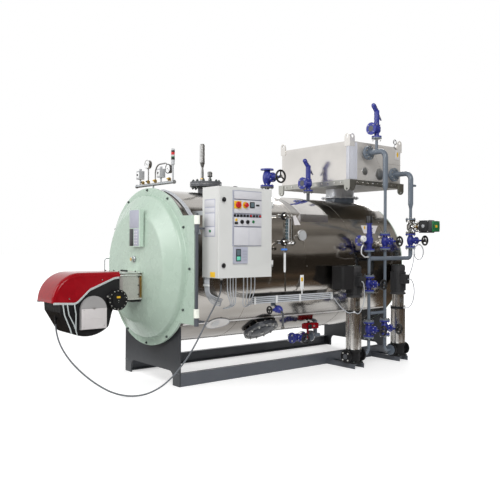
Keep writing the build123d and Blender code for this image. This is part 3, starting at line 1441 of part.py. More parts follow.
# Control cables: out of the cabinet's underside into the cladding and the tray, from the gauge header
# down behind the cabinet, and from the tray to the pumps
with BuildPart() as control_cables:
    lead_top = cab_z0 - seat_gap
    knee_z = lead_top - lead_drop
    wall_x = cab_x0 + wall_lead_inset[0]
    entry_x = cab_x0 + lead_entry_x
    entry_y = -shell_radius + lead_entry_depth
    entry_z = cab_z0 + lead_entry_z
    lead_y = cab_back - front_lead_inset
    for row in range(wall_lead_count):
        start_y = cab_back - wall_lead_inset[1] - row * lead_spacing
        low_z = entry_z + row * lead_spacing
        lead((wall_x, start_y, lead_top), (wall_x, start_y, knee_z),
             (wall_x + lead_drop / 2, start_y, low_z + 2 * lead_spacing),
             (entry_x - lead_drop / 2, start_y + lead_spacing, low_z), (entry_x, entry_y, low_z))
    for row, lead_x in enumerate(front_lead_x):
        end_x = entry_x + (row + 2) * lead_spacing
        lead((cab_x0 + lead_x, lead_y, lead_top), (cab_x0 + lead_x, lead_y, knee_z),
             (end_x, lead_y + lead_drop / 2, entry_z), (end_x, entry_y, entry_z - lead_drop / 4))
    for row in range(tray_cable_count):
        start_x = cab_x0 + tray_lead_x + row * tray_lead_pitch
        row_z = tray_z[0] + tray_cable_radius + tray_thickness / 2 + row * tray_cable_pitch
        end_x = tray_ends[0] + tray_cable_inset - seat_gap
        lead((start_x, lead_y, lead_top), (start_x, lead_y, knee_z),
             (start_x + (tray_cable_count - row) * lead_spacing, (lead_y + cable_y) / 2,
              cab_z0 - tray_lead_bottom + row * lead_spacing),
             (end_x - lead_end_run, cable_y, row_z), (end_x, cable_y, row_z))
    for row in range(header_lead_count):
        lead(*(on_shell(front + header_lead_x + row * header_lead_pitch + step * header_lead_slant, angle,
                        2 * lead_radius)
               for step, angle in enumerate(header_lead_angles)))
    near_pump, far_pump = [Vector(front + centre, pump_y, pump_sleeve_top_z) for centre in pump_x]
    touch = pump_head_radius + lead_radius + seat_gap
    near_plug = near_pump + Vector(-touch / math.sqrt(2), -touch / math.sqrt(2), pump_head_height / 2)
    far_plug = far_pump + Vector(0, -touch, pump_head_height / 2)
    box_face_y = pump_y - pump_motor_radius - terminal_box_depth - seat_gap
    box_z = sum(terminal_box_z) / 2
    near_socket = Vector(near_pump.X - terminal_box_half + lead_spacing, box_face_y, box_z)
    far_socket = Vector(far_pump.X, box_face_y, box_z)
    side_socket = Vector(far_pump.X + terminal_box_half + seat_gap, pump_y - pump_motor_radius, box_z)
    tray_end = Vector(tray_ends[1] + tray_cable_tail + seat_gap, cable_y,
                      tray_z[0] + tray_cable_radius + tray_thickness / 2)
    coil_centre = Vector(front + right_pipe_x + coil_offset,
                         pump_y - valve_flange_radius - lead_radius - seat_gap, coil_z)
    lead(tray_end, tray_end + Vector(lead_end_run, 0, 0),
         *(near_pump + Vector(point) for point in tray_lead_way), near_plug)
    lead(near_plug, *(near_pump + Vector(point) for point in near_lead_way),
         near_socket - Vector(0, lead_end_run, 0), near_socket)
    lead(far_socket, far_socket - Vector(0, lead_end_run, 0),
         *(far_pump + Vector(point) for point in far_lead_way), far_plug)
    lead(coil_centre - Vector(coil_radius, 0, 0), *(far_pump + Vector(point) for point in coil_lead_way),
         side_socket + Vector(lead_end_run, 0, 0), side_socket)
    with Locations(Plane(origin=coil_centre, z_dir=(0, 1, 0))):
        Torus(coil_radius, lead_radius)
save(control_cables, "control_cables")

# Level gauge: two cocks on the shell, the glass and a column between them, and the drain
gauge_x = front + level_gauge_x
gauge_y = -shell_radius - level_gauge_stand_off
with BuildPart() as level_gauge:
    for cock_z in level_cock_z:
        rod((gauge_x, gauge_y, cock_z), (0, 1, 0), level_cock_radius, shell_radius)
        rod((gauge_x - level_body_length[0], gauge_y, cock_z), (1, 0, 0), level_body_radius,
            sum(level_body_length))
        wheel_x = gauge_x - level_wheel_offset
        rod((wheel_x, gauge_y, cock_z), (0, -1, 0), level_cock_radius / 2, level_wheel_reach)
        rod((wheel_x, gauge_y - level_wheel_reach, cock_z), (0, 1, 0), level_wheel_radius,
            level_wheel_thickness)
    dial_x = front + shell_dial_x
    rod((dial_x, shell_dial_y, shell_dial_z), (0, 1, 0), shell_dial_stem, shell_radius)
    rod((dial_x, shell_dial_y, shell_dial_z), (0, 1, 0), shell_dial_radius, shell_dial_thickness)
    cut_to_shell()
    column_x = gauge_x + level_column_offset
    low_cock, high_cock = level_cock_z
    bar(gauge_x - level_glass_half_width, gauge_x + level_glass_half_width,
        gauge_y - level_glass_depth[0], gauge_y + level_glass_depth[1],
        low_cock + level_glass_inset, high_cock - level_glass_inset)
    rod((column_x, gauge_y, low_cock - level_column_overhang), (0, 0, 1), level_column_radius,
        high_cock - low_cock + 2 * level_column_overhang)
    rod((gauge_x, gauge_y, low_cock), (0, 0, -1), level_drain_radius, level_drain_length)
save(level_gauge, "level_gauge")

# Blowdown line under the shell
blow_x = front + blowdown_x
blow_z = axis_z - shell_radius - blowdown_drop
with BuildPart() as blowdown_valve:
    globe_valve((blow_x, blowdown_y, blow_z), (1, 0, 0), (0, -1, 0), valve_length,
                valve_flange_radius, valve_body_radius, blowdown_reach)
save(blowdown_valve, "blowdown_valve")

with BuildPart() as blowdown_handwheel:
    handwheel((blow_x, blowdown_y - blowdown_reach + wheel_inset, blow_z), (0, -1, 0), wheel_radius)
save(blowdown_handwheel, "blowdown_handwheel")

with BuildPart() as blowdown_pipe:
    end_x = blow_x + half_valve + seat_gap
    rod((end_x, blowdown_y, blow_z), (1, 0, 0), blowdown_pipe_radius, blowdown_pipe_length)
    rod((end_x, blowdown_y, blow_z), (1, 0, 0), valve_flange_radius, valve_flange_thickness)
    rod((end_x + blowdown_joint, blowdown_y, blow_z), (1, 0, 0), valve_flange_radius,
        2 * valve_flange_thickness)
    rod((end_x + blowdown_riser, blowdown_y, blow_z), (0, 0, 1), blowdown_pipe_radius, shell_radius / 2)
    cut_to_shell()
save(blowdown_pipe, "blowdown_pipe")

# Actuator of the quick valve in that line, on a bracket that comes up from the pipe's front
with BuildPart() as blowdown_actuator:
    quick_x = blow_x + quick_valve_offset
    pipe_front = blowdown_y - blowdown_pipe_radius - seat_gap
    quick_z = blow_z + quick_box_lift
    box_back = pipe_front - quick_bracket_thickness
    bar(quick_x - quick_bracket_half, quick_x + quick_bracket_half, box_back, pipe_front,
        blow_z - blowdown_pipe_radius, quick_z + quick_bracket_half)
    with BuildSketch(Plane(origin=(quick_x, box_back, quick_z + quick_box_height / 2), x_dir=(1, 0, 0),
                           z_dir=(0, -1, 0))):
        RectangleRounded(quick_box_length, quick_box_height, quick_box_round)
    extrude(amount=quick_box_depth)
    rod((quick_x + quick_knob_offset, box_back - quick_box_depth, quick_z + quick_box_height / 2),
        (0, -1, 0), quick_knob_radius, quick_knob_length)
save(blowdown_actuator, "blowdown_actuator")

# Burner cable: from the burner's nose down to the floor and up into the cabinet's underside.
# The route stretches with the places of its two glands.
gland_start = Vector(gland_x, 0, gland_z)
gland_end = Vector(front + panel_gland_x, cab_back - panel_gland_inset, cab_z0 - panel_gland_length)
route_start = Vector(*cable_route[0])
route_end = Vector(*cable_route[-1])
points = []
for route_point in cable_route:
    x, y, z = route_point
    share = (y - route_start.Y) / (route_end.Y - route_start.Y)
    shift = (gland_start - route_start) * (1 - share) + (gland_end - route_end) * share
    points.append(Vector(x, y, z) + shift)
with BuildPart() as burner_cable:
    with BuildLine() as cable_path:
        FilletPolyline(*points, radius=bend_radii(points))
    with BuildSketch(Plane(origin=cable_path.line @ 0, z_dir=cable_path.line % 0)):
        Circle(cable_radius)
    sweep()
save(burner_cable, "burner_cable")
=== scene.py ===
import bpy
import bmesh
from math import cos, pi, radians, sin, sqrt, tan
from mathutils import Matrix, Vector


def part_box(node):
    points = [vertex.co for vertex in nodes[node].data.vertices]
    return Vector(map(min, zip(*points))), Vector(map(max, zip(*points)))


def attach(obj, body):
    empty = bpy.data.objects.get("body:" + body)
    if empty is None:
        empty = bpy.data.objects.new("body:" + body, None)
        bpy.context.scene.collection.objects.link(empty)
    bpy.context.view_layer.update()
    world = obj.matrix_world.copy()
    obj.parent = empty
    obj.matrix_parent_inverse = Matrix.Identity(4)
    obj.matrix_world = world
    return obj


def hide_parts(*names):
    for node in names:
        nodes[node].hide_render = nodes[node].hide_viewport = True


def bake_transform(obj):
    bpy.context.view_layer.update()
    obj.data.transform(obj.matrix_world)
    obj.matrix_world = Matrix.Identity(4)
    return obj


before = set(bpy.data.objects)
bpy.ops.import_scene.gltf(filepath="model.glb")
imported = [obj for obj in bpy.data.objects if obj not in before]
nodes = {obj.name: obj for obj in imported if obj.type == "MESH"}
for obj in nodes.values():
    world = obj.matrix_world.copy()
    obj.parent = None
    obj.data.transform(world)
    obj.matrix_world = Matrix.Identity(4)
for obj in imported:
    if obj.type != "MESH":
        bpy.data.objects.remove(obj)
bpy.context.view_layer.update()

# Metres. X runs along the boiler from the skid's front face at FRONT, Y across it with the cabinet's
# side at -Y, and Z up from the floor. Places given as along, across, up count X from FRONT.
FRONT = -1.485
AXIS_Z = 1.1
SHELL_R = 0.75
PUMP_Y = -0.838
LEVEL_Y = -0.85
UP, DOWN = Vector((0, 0, 1)), Vector((0, 0, -1))
NEAR, FAR = Vector((0, -1, 0)), Vector((0, 1, 0))
AHEAD, BACK = Vector((-1, 0, 0)), Vector((1, 0, 0))
NODE_CREASE = radians(28)
PIECE_CREASE = radians(32)


def at(along, across, up):
    """A place measured from the skid's front face."""
    return Vector((FRONT + along, across, up))


def shell_normal(degrees):
    angle = radians(degrees)
    return Vector((0, -cos(angle), sin(angle)))


def on_shell(along, degrees, lift=0.0):
    """A place on the shell's side: 0 degrees faces the cabinet, 90 faces up."""
    return at(along, 0, AXIS_Z) + shell_normal(degrees) * (SHELL_R + lift)


def add_object(name, data):
    made = bpy.data.objects.new(name, data)
    bpy.context.scene.collection.objects.link(made)
    return made


# Camera: eye height, distance and slight roll of the photograph
def add_camera():
    data = bpy.data.cameras.new("camera")
    camera = add_object("camera", data)
    azimuth = radians(-39.027)
    roll = 0.0052
    forward = Vector((-sin(azimuth), cos(azimuth), 0))
    right = Vector((cos(azimuth), sin(azimuth), 0))
    turned = Matrix.Rotation(-roll, 3, forward)
    basis = Matrix((turned @ right, turned @ UP, -forward)).transposed()
    camera.matrix_world = Matrix.Translation((-4.755, -5.533, 1.329)) @ basis.to_4x4()
    data.sensor_width = 36
    data.lens = 46.57
    data.shift_x = 0.005
    data.shift_y = -0.013
    data.clip_end = 200
    bpy.context.scene.camera = camera


add_camera()


# Shader nodes
def add_node(tree, kind, inputs, **settings):
    """A node with its settings and inputs. An input is a plain value or another node's socket."""
    made = tree.nodes.new("ShaderNode" + kind)
    for name, value in settings.items():
        setattr(made, name, value)
    for key, value in inputs.items():
        if isinstance(value, bpy.types.NodeSocket):
            tree.links.new(value, made.inputs[key])
        else:
            made.inputs[key].default_value = value
    return made


def ramped(tree, value, low, high, to_low=0.0, to_high=1.0):
    """A straight change from to_low at low to to_high at high."""
    return add_node(tree, "MapRange", {"Value": value, "From Min": low, "From Max": high,
        "To Min": to_low, "To Max": to_high}).outputs["Result"]


def mixed(tree, fac, *colors):
    first, second = [c if isinstance(c, bpy.types.NodeSocket) else (*c, 1) for c in colors]
    return add_node(tree, "Mix", {0: fac, 6: first, 7: second}, data_type="RGBA").outputs[2]


def noise(tree, scale, detail=3.0, stretch=(1, 1, 1)):
    coords = tree.nodes.new("ShaderNodeTexCoord").outputs["Object"]
    place = add_node(tree, "Mapping", {"Vector": coords, "Scale": stretch}).outputs["Vector"]
    return add_node(tree, "TexNoise", {"Vector": place, "Scale": scale, "Detail": detail}).outputs["Fac"]


# Materials
class Look:
    """One procedural material: a Principled shader with node detail for colour, gloss and relief."""

    def __init__(self, name, color, rough, metal=0.0):
        self.material = bpy.data.materials.new(name)
        self.material.use_nodes = True
        self.tree = self.material.node_tree
        self.inputs = self.tree.nodes["Principled BSDF"].inputs
        self.put("Base Color", (*color, 1))
        self.put("Roughness", rough)
        self.put("Metallic", metal)
        self.color = color
        self.normal = None

    def put(self, socket, value):
        self.inputs[socket].default_value = value

    def join(self, value, socket):
        self.tree.links.new(value, self.inputs[socket])

    def mottle(self, scale, amount):
        """The base colour wanders a little, and edges are worn lighter."""
        shades = [[min(1, c * share) for c in self.color] for share in (1 - amount, 1 + amount)]
        body = mixed(self.tree, ramped(self.tree, noise(self.tree, scale), 0.3, 0.7), *shades)
        edge = add_node(self.tree, "NewGeometry", {}).outputs["Pointiness"]
        worn = [min(1, c * 1.5 + 0.02) for c in self.color]
        self.join(mixed(self.tree, ramped(self.tree, edge, 0.53, 0.62, 0, 0.35), body, worn),
            "Base Color")

    def gloss(self, scale, low, high, stretch=(1, 1, 1)):
        """Roughness wanders between two levels."""
        self.join(ramped(self.tree, noise(self.tree, scale, 4, stretch), 0.3, 0.7, low, high),
            "Roughness")

    def relief(self, scale, detail, depth, stretch=(1, 1, 1)):
        """Adds a bump of a depth in metres on top of what is there."""
        inputs = {"Height": noise(self.tree, scale, detail, stretch), "Distance": depth}
        if self.normal:
            inputs["Normal"] = self.normal
        self.normal = add_node(self.tree, "Bump", inputs).outputs["Normal"]
        self.join(self.normal, "Normal")


def surface(name, color, rough, metal, mottle, gloss, relief, grain=(1, 1, 1)):
    """A look with wandering colour, gloss between two shares of rough, and a fine relief."""
    look = Look(name, color, rough, metal)
    look.mottle(*mottle)
    look.gloss(gloss[0], rough * gloss[1], rough * gloss[2], grain)
    look.relief(*relief, grain)
    return look


def painted(name, color, rough=0.4, mottle=0.05, peel=0.00004):
    """Sprayed paint on metal: faint orange peel and a slightly uneven gloss."""
    return surface(name, color, rough, 0, (6, mottle), (9, 0.85, 1.15), (700, 2, peel))


def brushed(name, color, rough, grain, mottle=0.06):
    """Sheet metal with a grain. The grain's axis has the smallest stretch."""
    return surface(name, color, rough, 1, (3, mottle), (50, 0.75, 1.3), (300, 3, 0.00001), grain)


def moulded(name, color, rough=0.45):
    """Moulded plastic or rubber with a fine grain."""
    return surface(name, color, rough, 0, (20, 0.08), (12, 0.85, 1.2), (1500, 2, 0.00002))


def cast(name, color, rough=0.45, depth=0.0002):
    """Enamel over a sand casting: soft lumps under the paint."""
    return surface(name, color, rough, 0, (25, 0.14), (30, 0.75, 1.3), (220, 4, depth))


def cladding_look():
    """Polished sheet with a faint grain along the boiler and long soft dents. Its colour runs in long
    dark and light streaks along the boiler, which are painted reflections.
    """
    look = Look("polished_cladding", (0.4, 0.375, 0.35), 0.14, 1)
    # painted reflections: broad dark and light streaks along the boiler in the sheet's base colour
    streak = ramped(look.tree, noise(look.tree, 2.2, 4, (0.16, 1, 1)), 0.32, 0.68)
    look.join(mixed(look.tree, streak, (0.25, 0.225, 0.2), (0.58, 0.56, 0.53)), "Base Color")
    look.gloss(40, 0.1, 0.2, (0.2, 3, 3))
    look.relief(1.6, 2, 0.012, (0.5, 1.3, 1.3))
    look.relief(260, 3, 0.00001, (0.1, 3, 3))
    return look


looks = {
    "cladding": cladding_look(),
    "slate": painted("slate_paint", (0.075, 0.083, 0.098), 0.42),
    # painted shade: the saddle plates take the slate paint darkened, for their dimmer end faces
    "saddle": painted("saddle_painted_shade", (0.025, 0.028, 0.033), 0.42),
    "mint": painted("mint_paint", (0.42, 0.53, 0.445), 0.27, 0.03),
    "cream": painted("cream_paint", (0.78, 0.82, 0.68)),
    "pale_cladding": brushed("pale_cladding", (0.8, 0.775, 0.75), 0.4, (0.4, 6, 6)),
    "casing": brushed("economizer_sheet", (0.66, 0.635, 0.605), 0.19, (8, 8, 0.6)),
    "strip": painted("bright_sheet", (0.58, 0.59, 0.64), 0.35, 0.03),
    "galvanised": brushed("galvanised_sheet", (0.5, 0.52, 0.54), 0.42, (2, 2, 2), 0.14),
    "stainless": brushed("stainless_steel", (0.62, 0.6, 0.57), 0.22, (10, 10, 0.5)),
    "satin": brushed("satin_steel", (0.34, 0.34, 0.335), 0.34, (3, 3, 3)),
    "dull_steel": brushed("dull_tray", (0.16, 0.165, 0.17), 0.5, (2, 2, 2)),
    "chrome": brushed("polished_steel", (0.74, 0.74, 0.73), 0.12, (3, 3, 3), 0.03),
    "boiler_plate": cast("bare_plate", (0.1, 0.095, 0.09), 0.6),
    "pipe": painted("pipe_paint", (0.15, 0.178, 0.215), 0.22),
    "flange": cast("dark_steel", (0.085, 0.09, 0.1), 0.42, 0.00012),
    "blue": cast("blue_enamel", (0.028, 0.037, 0.26), 0.32),
    "black": moulded("black_plastic", (0.012, 0.012, 0.013), 0.35),
    "black_cast": cast("black_enamel", (0.009, 0.009, 0.01), 0.5),
    "motor": painted("motor_paint", (0.04, 0.04, 0.042)),
    "mount": brushed("mount_sheet", (0.62, 0.6, 0.57), 0.32, (10, 10, 0.5)),
    "cover": cast("cover_enamel", (0.055, 0.06, 0.072), 0.34),
    "frame": brushed("frame_steel", (0.38, 0.38, 0.35), 0.4, (2, 2, 2), 0.14),
    "red": moulded("red_hood", (0.27, 0.004, 0.009), 0.13),
    "trim": painted("hood_trim", (0.5, 0.54, 0.54)),
    "grey_panel": painted("grey_panel", (0.56, 0.53, 0.53), 0.45),
    "dark_panel": painted("dark_panel", (0.3, 0.29, 0.29), 0.45),
    "cabinet": painted("cabinet_paint", (0.55, 0.555, 0.54), 0.5, 0.02, 0.00008),
    "tag": painted("bare_tag", (0.6, 0.58, 0.58), 0.5, 0.03),
    "duct": brushed("duct_sheet", (0.86, 0.88, 0.92), 0.4, (3, 3, 3)),
    "sleeve": brushed("pump_sleeve", (0.72, 0.7, 0.67), 0.24, (1, 1, 0.1), 0.02),
    "plate": painted("plain_plate", (0.36, 0.37, 0.44), 0.45),
    "field": painted("plate_field", (0.55, 0.55, 0.58), 0.5),
    "screen": moulded("lit_screen", (0.16, 0.62, 0.46), 0.3),
    "sky": moulded("sky_plastic", (0.06, 0.22, 0.72), 0.35),
    "mirror": brushed("mirror_sheet", (0.72, 0.73, 0.75), 0.07, (0.3, 3, 3), 0.02),
    "fold": brushed("folded_edge", (0.62, 0.62, 0.64), 0.4, (0.4, 6, 6)),
    "brass": brushed("brass", (0.62, 0.43, 0.16), 0.3, (3, 3, 3)),
    "cable": moulded("cable_sheath", (0.12, 0.13, 0.145), 0.5),
    "grey_cable": moulded("grey_cable_sheath", (0.5, 0.52, 0.55), 0.45),
    "white": moulded("white_plastic", (0.78, 0.79, 0.79)),
    "sensor": painted("sensor_housing", (0.42, 0.43, 0.44)),
    "bolt": brushed("zinc_bolt", (0.6, 0.6, 0.58), 0.3, (4, 4, 4)),
    "dark_bolt": cast("dark_bolt", (0.045, 0.06, 0.055), 0.4),
    "green": moulded("green_plastic", (0.01, 0.15, 0.045), 0.4),
    "yellow": moulded("yellow_plastic", (0.72, 0.42, 0.01), 0.4),
    "red_plastic": moulded("red_plastic", (0.5, 0.01, 0.012), 0.35),
    "glass": moulded("sight_glass", (0.1, 0.14, 0.16), 0.06),
}

looks["mount"].put("Metallic", 0.6)
looks["red"].put("Specular IOR Level", 0.2)
looks["black_cast"].put("Specular IOR Level", 0.25)
looks["duct"].put("Metallic", 0.5)


def dull_end():
    """The economizer's end sheet towards the pumps is duller than its polished sides."""
    look = looks["casing"]
    normal = add_node(look.tree, "TexCoord", {}).outputs["Normal"]
    across = add_node(look.tree, "SeparateXYZ", {"Vector": normal}).outputs["Y"]
    look.join(ramped(look.tree, across, -0.95, -0.6, 0.3, 1), "Metallic")


dull_end()

WHEELS = ("steam", "near_low", "near_mid", "far_low", "far_top", "right", "blowdown")
node_looks = {
    "slate": ("skid_beams", "pump_bearers", "hinge_post"),
    # painted shade: the saddle plates take the darkened copy of the slate paint
    "saddle": ("front_saddle_plate", "rear_saddle_plate"),
    "cladding": ("boiler_shell",),
    "mint": ("front_door", "door_instrument_box", "rear_end_plate"),
    "cream": ("door_hinge_barrels",),
    "cover": ("mud_hole_cover",),
    "frame": ("economizer_frame",),
    "casing": ("economizer_casing",),
    "galvanised": ("gauge_header", "cabinet_fixings", "door_fittings"),
    "duct": ("flue_duct",),
    "sleeve": ("feed_pumps",),
    "dull_steel": ("cable_tray",),
    "mount": ("burner_mount",),
    "satin": ("pressure_gauges", "level_probes"),
    "chrome": ("control_valve", "level_gauge"),
    "boiler_plate": ("front_tube_plate", "furnace_tube"),
    "pipe": ("near_feed_pipes", "far_feed_pipes", "economizer_inlet_pipe", "economizer_outlet_pipe",
        "blowdown_pipe"),
    "flange": ("shell_nozzles",),
    "blue": ("steam_valve", "safety_valves", "feed_valves", "relief_valve", "blowdown_valve"),
    "black": ("valve_actuator", "pump_drive_box", *(wheel + "_handwheel" for wheel in WHEELS)),
    "black_cast": ("burner_body", "damper_cover", "pump_bases"),
    "motor": ("pump_motors",),
    "red": ("burner_hood", "blowdown_actuator"),
    "dark_panel": ("burner_side_panel",),
    "cabinet": ("cabinet_box", "cabinet_door"),
    "plate": ("cabinet_controls",),
    "sensor": ("pressure_sensors",),
    "grey_cable": ("tray_cables", "control_cables"),
    "cable": ("burner_cable",),
}
for look, names in node_looks.items():
    for name in names:
        mesh = nodes[name].data
        mesh.materials.clear()
        mesh.materials.append(looks[look].material)
        mesh.shade_smooth()
        mesh.set_sharp_from_angle(angle=NODE_CREASE)


# Shapes
def rounded(points, bend, steps=8):
    """The points of a line of straight runs whose corners are curves."""
    points = [Vector(p) for p in points]
    line = [points[0]]
    for before, corner, after in zip(points, points[1:], points[2:]):
        into, out = (corner - before).normalized(), (after - corner).normalized()
        turn = into.angle(out)
        if turn < 0.02:
            continue
        cut = min(bend * tan(turn / 2), 0.49 * (corner - before).length, 0.49 * (after - corner).length)
        for k in range(steps + 1):
            share = k / steps
            line.append((corner - into * cut * (1 - share)).lerp(corner + out * cut * share, share))
    line.append(points[-1])
    return line


def axes(direction):
    """A direction with two more across it."""
    direction = Vector(direction).normalized()
    side = direction.cross(UP)
    if side.length < 0.01:
        side = Vector((1, 0, 0))
    side.normalize()
    return direction, side, direction.cross(side)


def around(middle, side, across, radius, count):
    """Points on a circle, from two directions in its plane."""
    turns = [2 * pi * i / count for i in range(count)]
    return [middle + (side * cos(a) + across * sin(a)) * radius for a in turns]


class Piece:
    """Turned, folded and swept shapes gathered in one mesh that rides on a body."""

    def __init__(self, name, body="root"):
        self.name = name
        self.body = body
        self.mesh = bmesh.new()
        self.looks = []

    def index(self, look):
        if look not in self.looks:
            self.looks.append(look)
        return self.looks.index(look)

    def faces(self, points, corners, look):
        made = [self.mesh.verts.new(p) for p in points]
        for loop in corners:
            face = self.mesh.faces.new([made[i] for i in loop])
            face.material_index = self.index(look)
            face.smooth = True

    def rows(self, rows, look, closed=False):
        """A skin over rows of points, each a closed ring. closed joins the last ring to the first."""
        sides = len(rows[0])
        last = (len(rows) - 1) * sides
        corners = []
        for i in range(len(rows) - (0 if closed else 1)):
            a, b = i * sides, (i + 1) % len(rows) * sides
            for k in range(sides):
                m = (k + 1) % sides
                corners.append((a + k, a + m, b + m, b + k))
        if not closed:
            corners += [tuple(range(sides))[::-1], tuple(range(last, last + sides))]
        self.faces([point for row in rows for point in row], corners, look)

    def turned(self, start, direction, profile, look, sides=40):
        """A turned shape. The profile's points are (radius, distance along the direction)."""
        direction, side, across = axes(direction)
        self.rows([around(Vector(start) + direction * along, side, across, radius, sides)
            for radius, along in profile], look)

    def rod(self, start, direction, radius, length, look, sides=40):
        self.turned(start, direction, ((radius, 0), (radius, length)), look, sides)

    def disc(self, start, direction, radius, depth, look, edge=0.001, sides=40):
        """A round plate with a small chamfer on its free edge."""
        self.turned(start, direction, ((radius, 0), (radius, depth - edge), (radius - edge, depth)),
            look, sides)

    def bolt(self, start, direction, radius, look="bolt"):
        """A hexagon head on a washer, with the thread's end in it."""
        self.rod(start, direction, radius * 1.25, radius * 0.22, look, 14)
        foot = Vector(start) + Vector(direction).normalized() * radius * 0.2
        self.turned(foot, direction, ((radius, 0), (radius, radius * 0.9), (radius * 0.86, radius)),
            look, 6)
        self.turned(foot, direction, ((radius * 0.5, 0), (radius * 0.4, radius * 1.5)), look, 10)

    def screw(self, start, direction, radius, look="bolt"):
        """A low domed screw head."""
        self.turned(start, direction, ((radius, 0), (radius * 0.85, radius * 0.35),
            (radius * 0.3, radius * 0.5)), look, 12)

    def ring(self, centre, direction, circle, count, radius, look="bolt", phase=0.5):
        """Bolts on a circle round a point."""
        direction, side, across = axes(direction)
        for i in range(count):
            angle = 2 * pi * (i + phase) / count
            spot = Vector(centre) + (side * cos(angle) + across * sin(angle)) * circle
            self.bolt(spot, direction, radius, look)

    def torus(self, centre, direction, radius, wire, look, sides=40, wire_sides=12):
        direction, *plane = axes(direction)
        rays = around(Vector(), *plane, 1, sides)
        self.rows([around(Vector(centre) + ray * radius, ray, direction, wire, wire_sides)
            for ray in rays], look, closed=True)

    def sweep(self, line, radius, look, sides=12):
        """A round tube along a line of points."""
        line = [Vector(p) for p in line]
        normal = axes(line[1] - line[0])[1]
        rows = []
        for i, spot in enumerate(line):
            ahead = (line[min(i + 1, len(line) - 1)] - line[max(i - 1, 0)]).normalized()
            normal = (normal - ahead * normal.dot(ahead)).normalized()
            rows.append(around(spot, normal, ahead.cross(normal), radius, sides))
        self.rows(rows, look)

    def tube(self, points, radius, look, bend=0.03, sides=12):
        """A rigid tube of straight runs with rounded corners."""
        self.sweep(rounded(points, bend), radius, look, sides)

    def block(self, low, high, look, bevel=0.001):
        """A block with softened edges."""
        low, high = Vector(low), Vector(high)
        size = [max(abs(c), 0.0002) for c in high - low]
        place = Matrix.Translation((low + high) / 2) @ Matrix.Diagonal((*size, 1))
        made = bmesh.ops.create_cube(self.mesh, size=1.0, matrix=place)["verts"]
        edges = list({edge for vert in made for edge in vert.link_edges})
        made = bmesh.ops.bevel(self.mesh, geom=edges, offset=min(bevel, min(size) * 0.3), segments=2,
            affect="EDGES", profile=0.5)["verts"]
        for face in {face for vert in made for face in vert.link_faces}:
            face.material_index = self.index(look)
            face.smooth = True

    def card(self, along, up, back, depth, look, bevel=0.001):
        """A block that faces the cabinet's side, from its reach along, its heights and its back."""
        self.block(at(along[0], back - depth, up[0]), at(along[1], back, up[1]), look, bevel)

    def plate(self, outline, depth, look):
        """A flat plate from its outline's points. depth is a vector through it."""
        outline = [Vector(p) for p in outline]
        self.rows([outline, [p + depth for p in outline]], look)

    def shell_sheet(self, along, degrees, lift, look, steps):
        """A curved sheet over the shell, between two places along and two angles."""
        rows = []
        for i in range(steps + 1):
            angle = degrees[0] + (degrees[1] - degrees[0]) * i / steps
            rows.append([on_shell(x, angle, height) for x, height in ((along[0], 0), (along[0], lift),
                (along[1], lift), (along[1], 0))])
        self.rows(rows, look)

    def done(self):
        data = bpy.data.meshes.new(self.name)
        bmesh.ops.recalc_face_normals(self.mesh, faces=self.mesh.faces)
        self.mesh.to_mesh(data)
        self.mesh.free()
        for look in self.looks:
            data.materials.append(looks[look].material)
        data.set_sharp_from_angle(angle=PIECE_CREASE)
        made = add_object(self.name, data)
        if self.body:
            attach(made, self.body)
        return made


def makes(name, body="root"):
    """Makes the piece whose shapes the function below adds."""
    def build(add_shapes):
        made = Piece(name, body)
        add_shapes(made)
        made.done()
    return build


# Burner cable: the same points as the model's route, from the burner's gland to the cabinet's
CABLE_DIAMETER = 0.014
CABLE_ROUTE = (
    (-2.46, 0, 0.64), (-2.46, 0, 0.56), (-2.443, -0.052, 0.425), (-2.397, -0.15, 0.3),
    (-2.33, -0.262, 0.195), (-2.247, -0.375, 0.105), (-2.153, -0.478, 0.038), (-2.05, -0.572, 0.009),
    (-1.943, -0.66, 0.02), (-1.843, -0.73, 0.072), (-1.757, -0.782, 0.15), (-1.683, -0.822, 0.245),
    (-1.61, -0.852, 0.35), (-1.543, -0.872, 0.465), (-1.483, -0.886, 0.58), (-1.425, -0.898, 0.692),
    (-1.361, -0.909, 0.8), (-1.309, -0.915, 0.905), (-1.309, -0.915, 1.002))


def smooth_line(points):
    """The points along a smooth curve that has the given ones as its control points."""
    data = bpy.data.curves.new("route", "CURVE")
    data.dimensions = "3D"
    data.resolution_u = 12
    spline = data.splines.new("NURBS")
    spline.points.add(len(points) - 1)
    for spot, point in zip(spline.points, points):
        spot.co = (*point, 1)
    spline.order_u = 3
    spline.use_endpoint_u = True
    line = add_object("route", data)
    drawn = line.evaluated_get(bpy.context.evaluated_depsgraph_get())
    path = [tuple(vertex.co) for vertex in bpy.data.meshes.new_from_object(drawn).vertices]
    bpy.data.objects.remove(line)
    return path


def add_burner_cable():
    path = smooth_line(CABLE_ROUTE)
    length = sum((Vector(b) - Vector(a)).length for a, b in zip(path, path[1:]))
    piece = Piece("burner_lead", None)
    piece.sweep(path, CABLE_DIAMETER / 2, "cable", 14)
    lead = piece.done()
    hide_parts("burner_cable")
    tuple(path[0])
    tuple(path[-1])
    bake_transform(lead)
    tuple(path[0])


def add_strain_reliefs():
    """Tapered sleeves round the cable where it leaves the burner and enters the cabinet."""
    for name, body, place in (("burner_strain_relief", "door", Vector(CABLE_ROUTE[0])),
            ("panel_strain_relief", "root", Vector(CABLE_ROUTE[-1]))):
        piece = Piece(name, body)
        piece.turned(place, DOWN, ((0.0115, 0), (0.0115, 0.006), (0.01, 0.008), (0.0095, 0.02),
            (0.0078, 0.04)), "black", 24)
        for drop in (0.014, 0.022, 0.03):
            piece.torus(place + DOWN * drop, DOWN, 0.0095, 0.0012, "black", 24, 6)
        piece.done()


add_burner_cable()
add_strain_reliefs()


# Handwheels: a thick grip round each rim
RIM_DEPTH = 0.0085


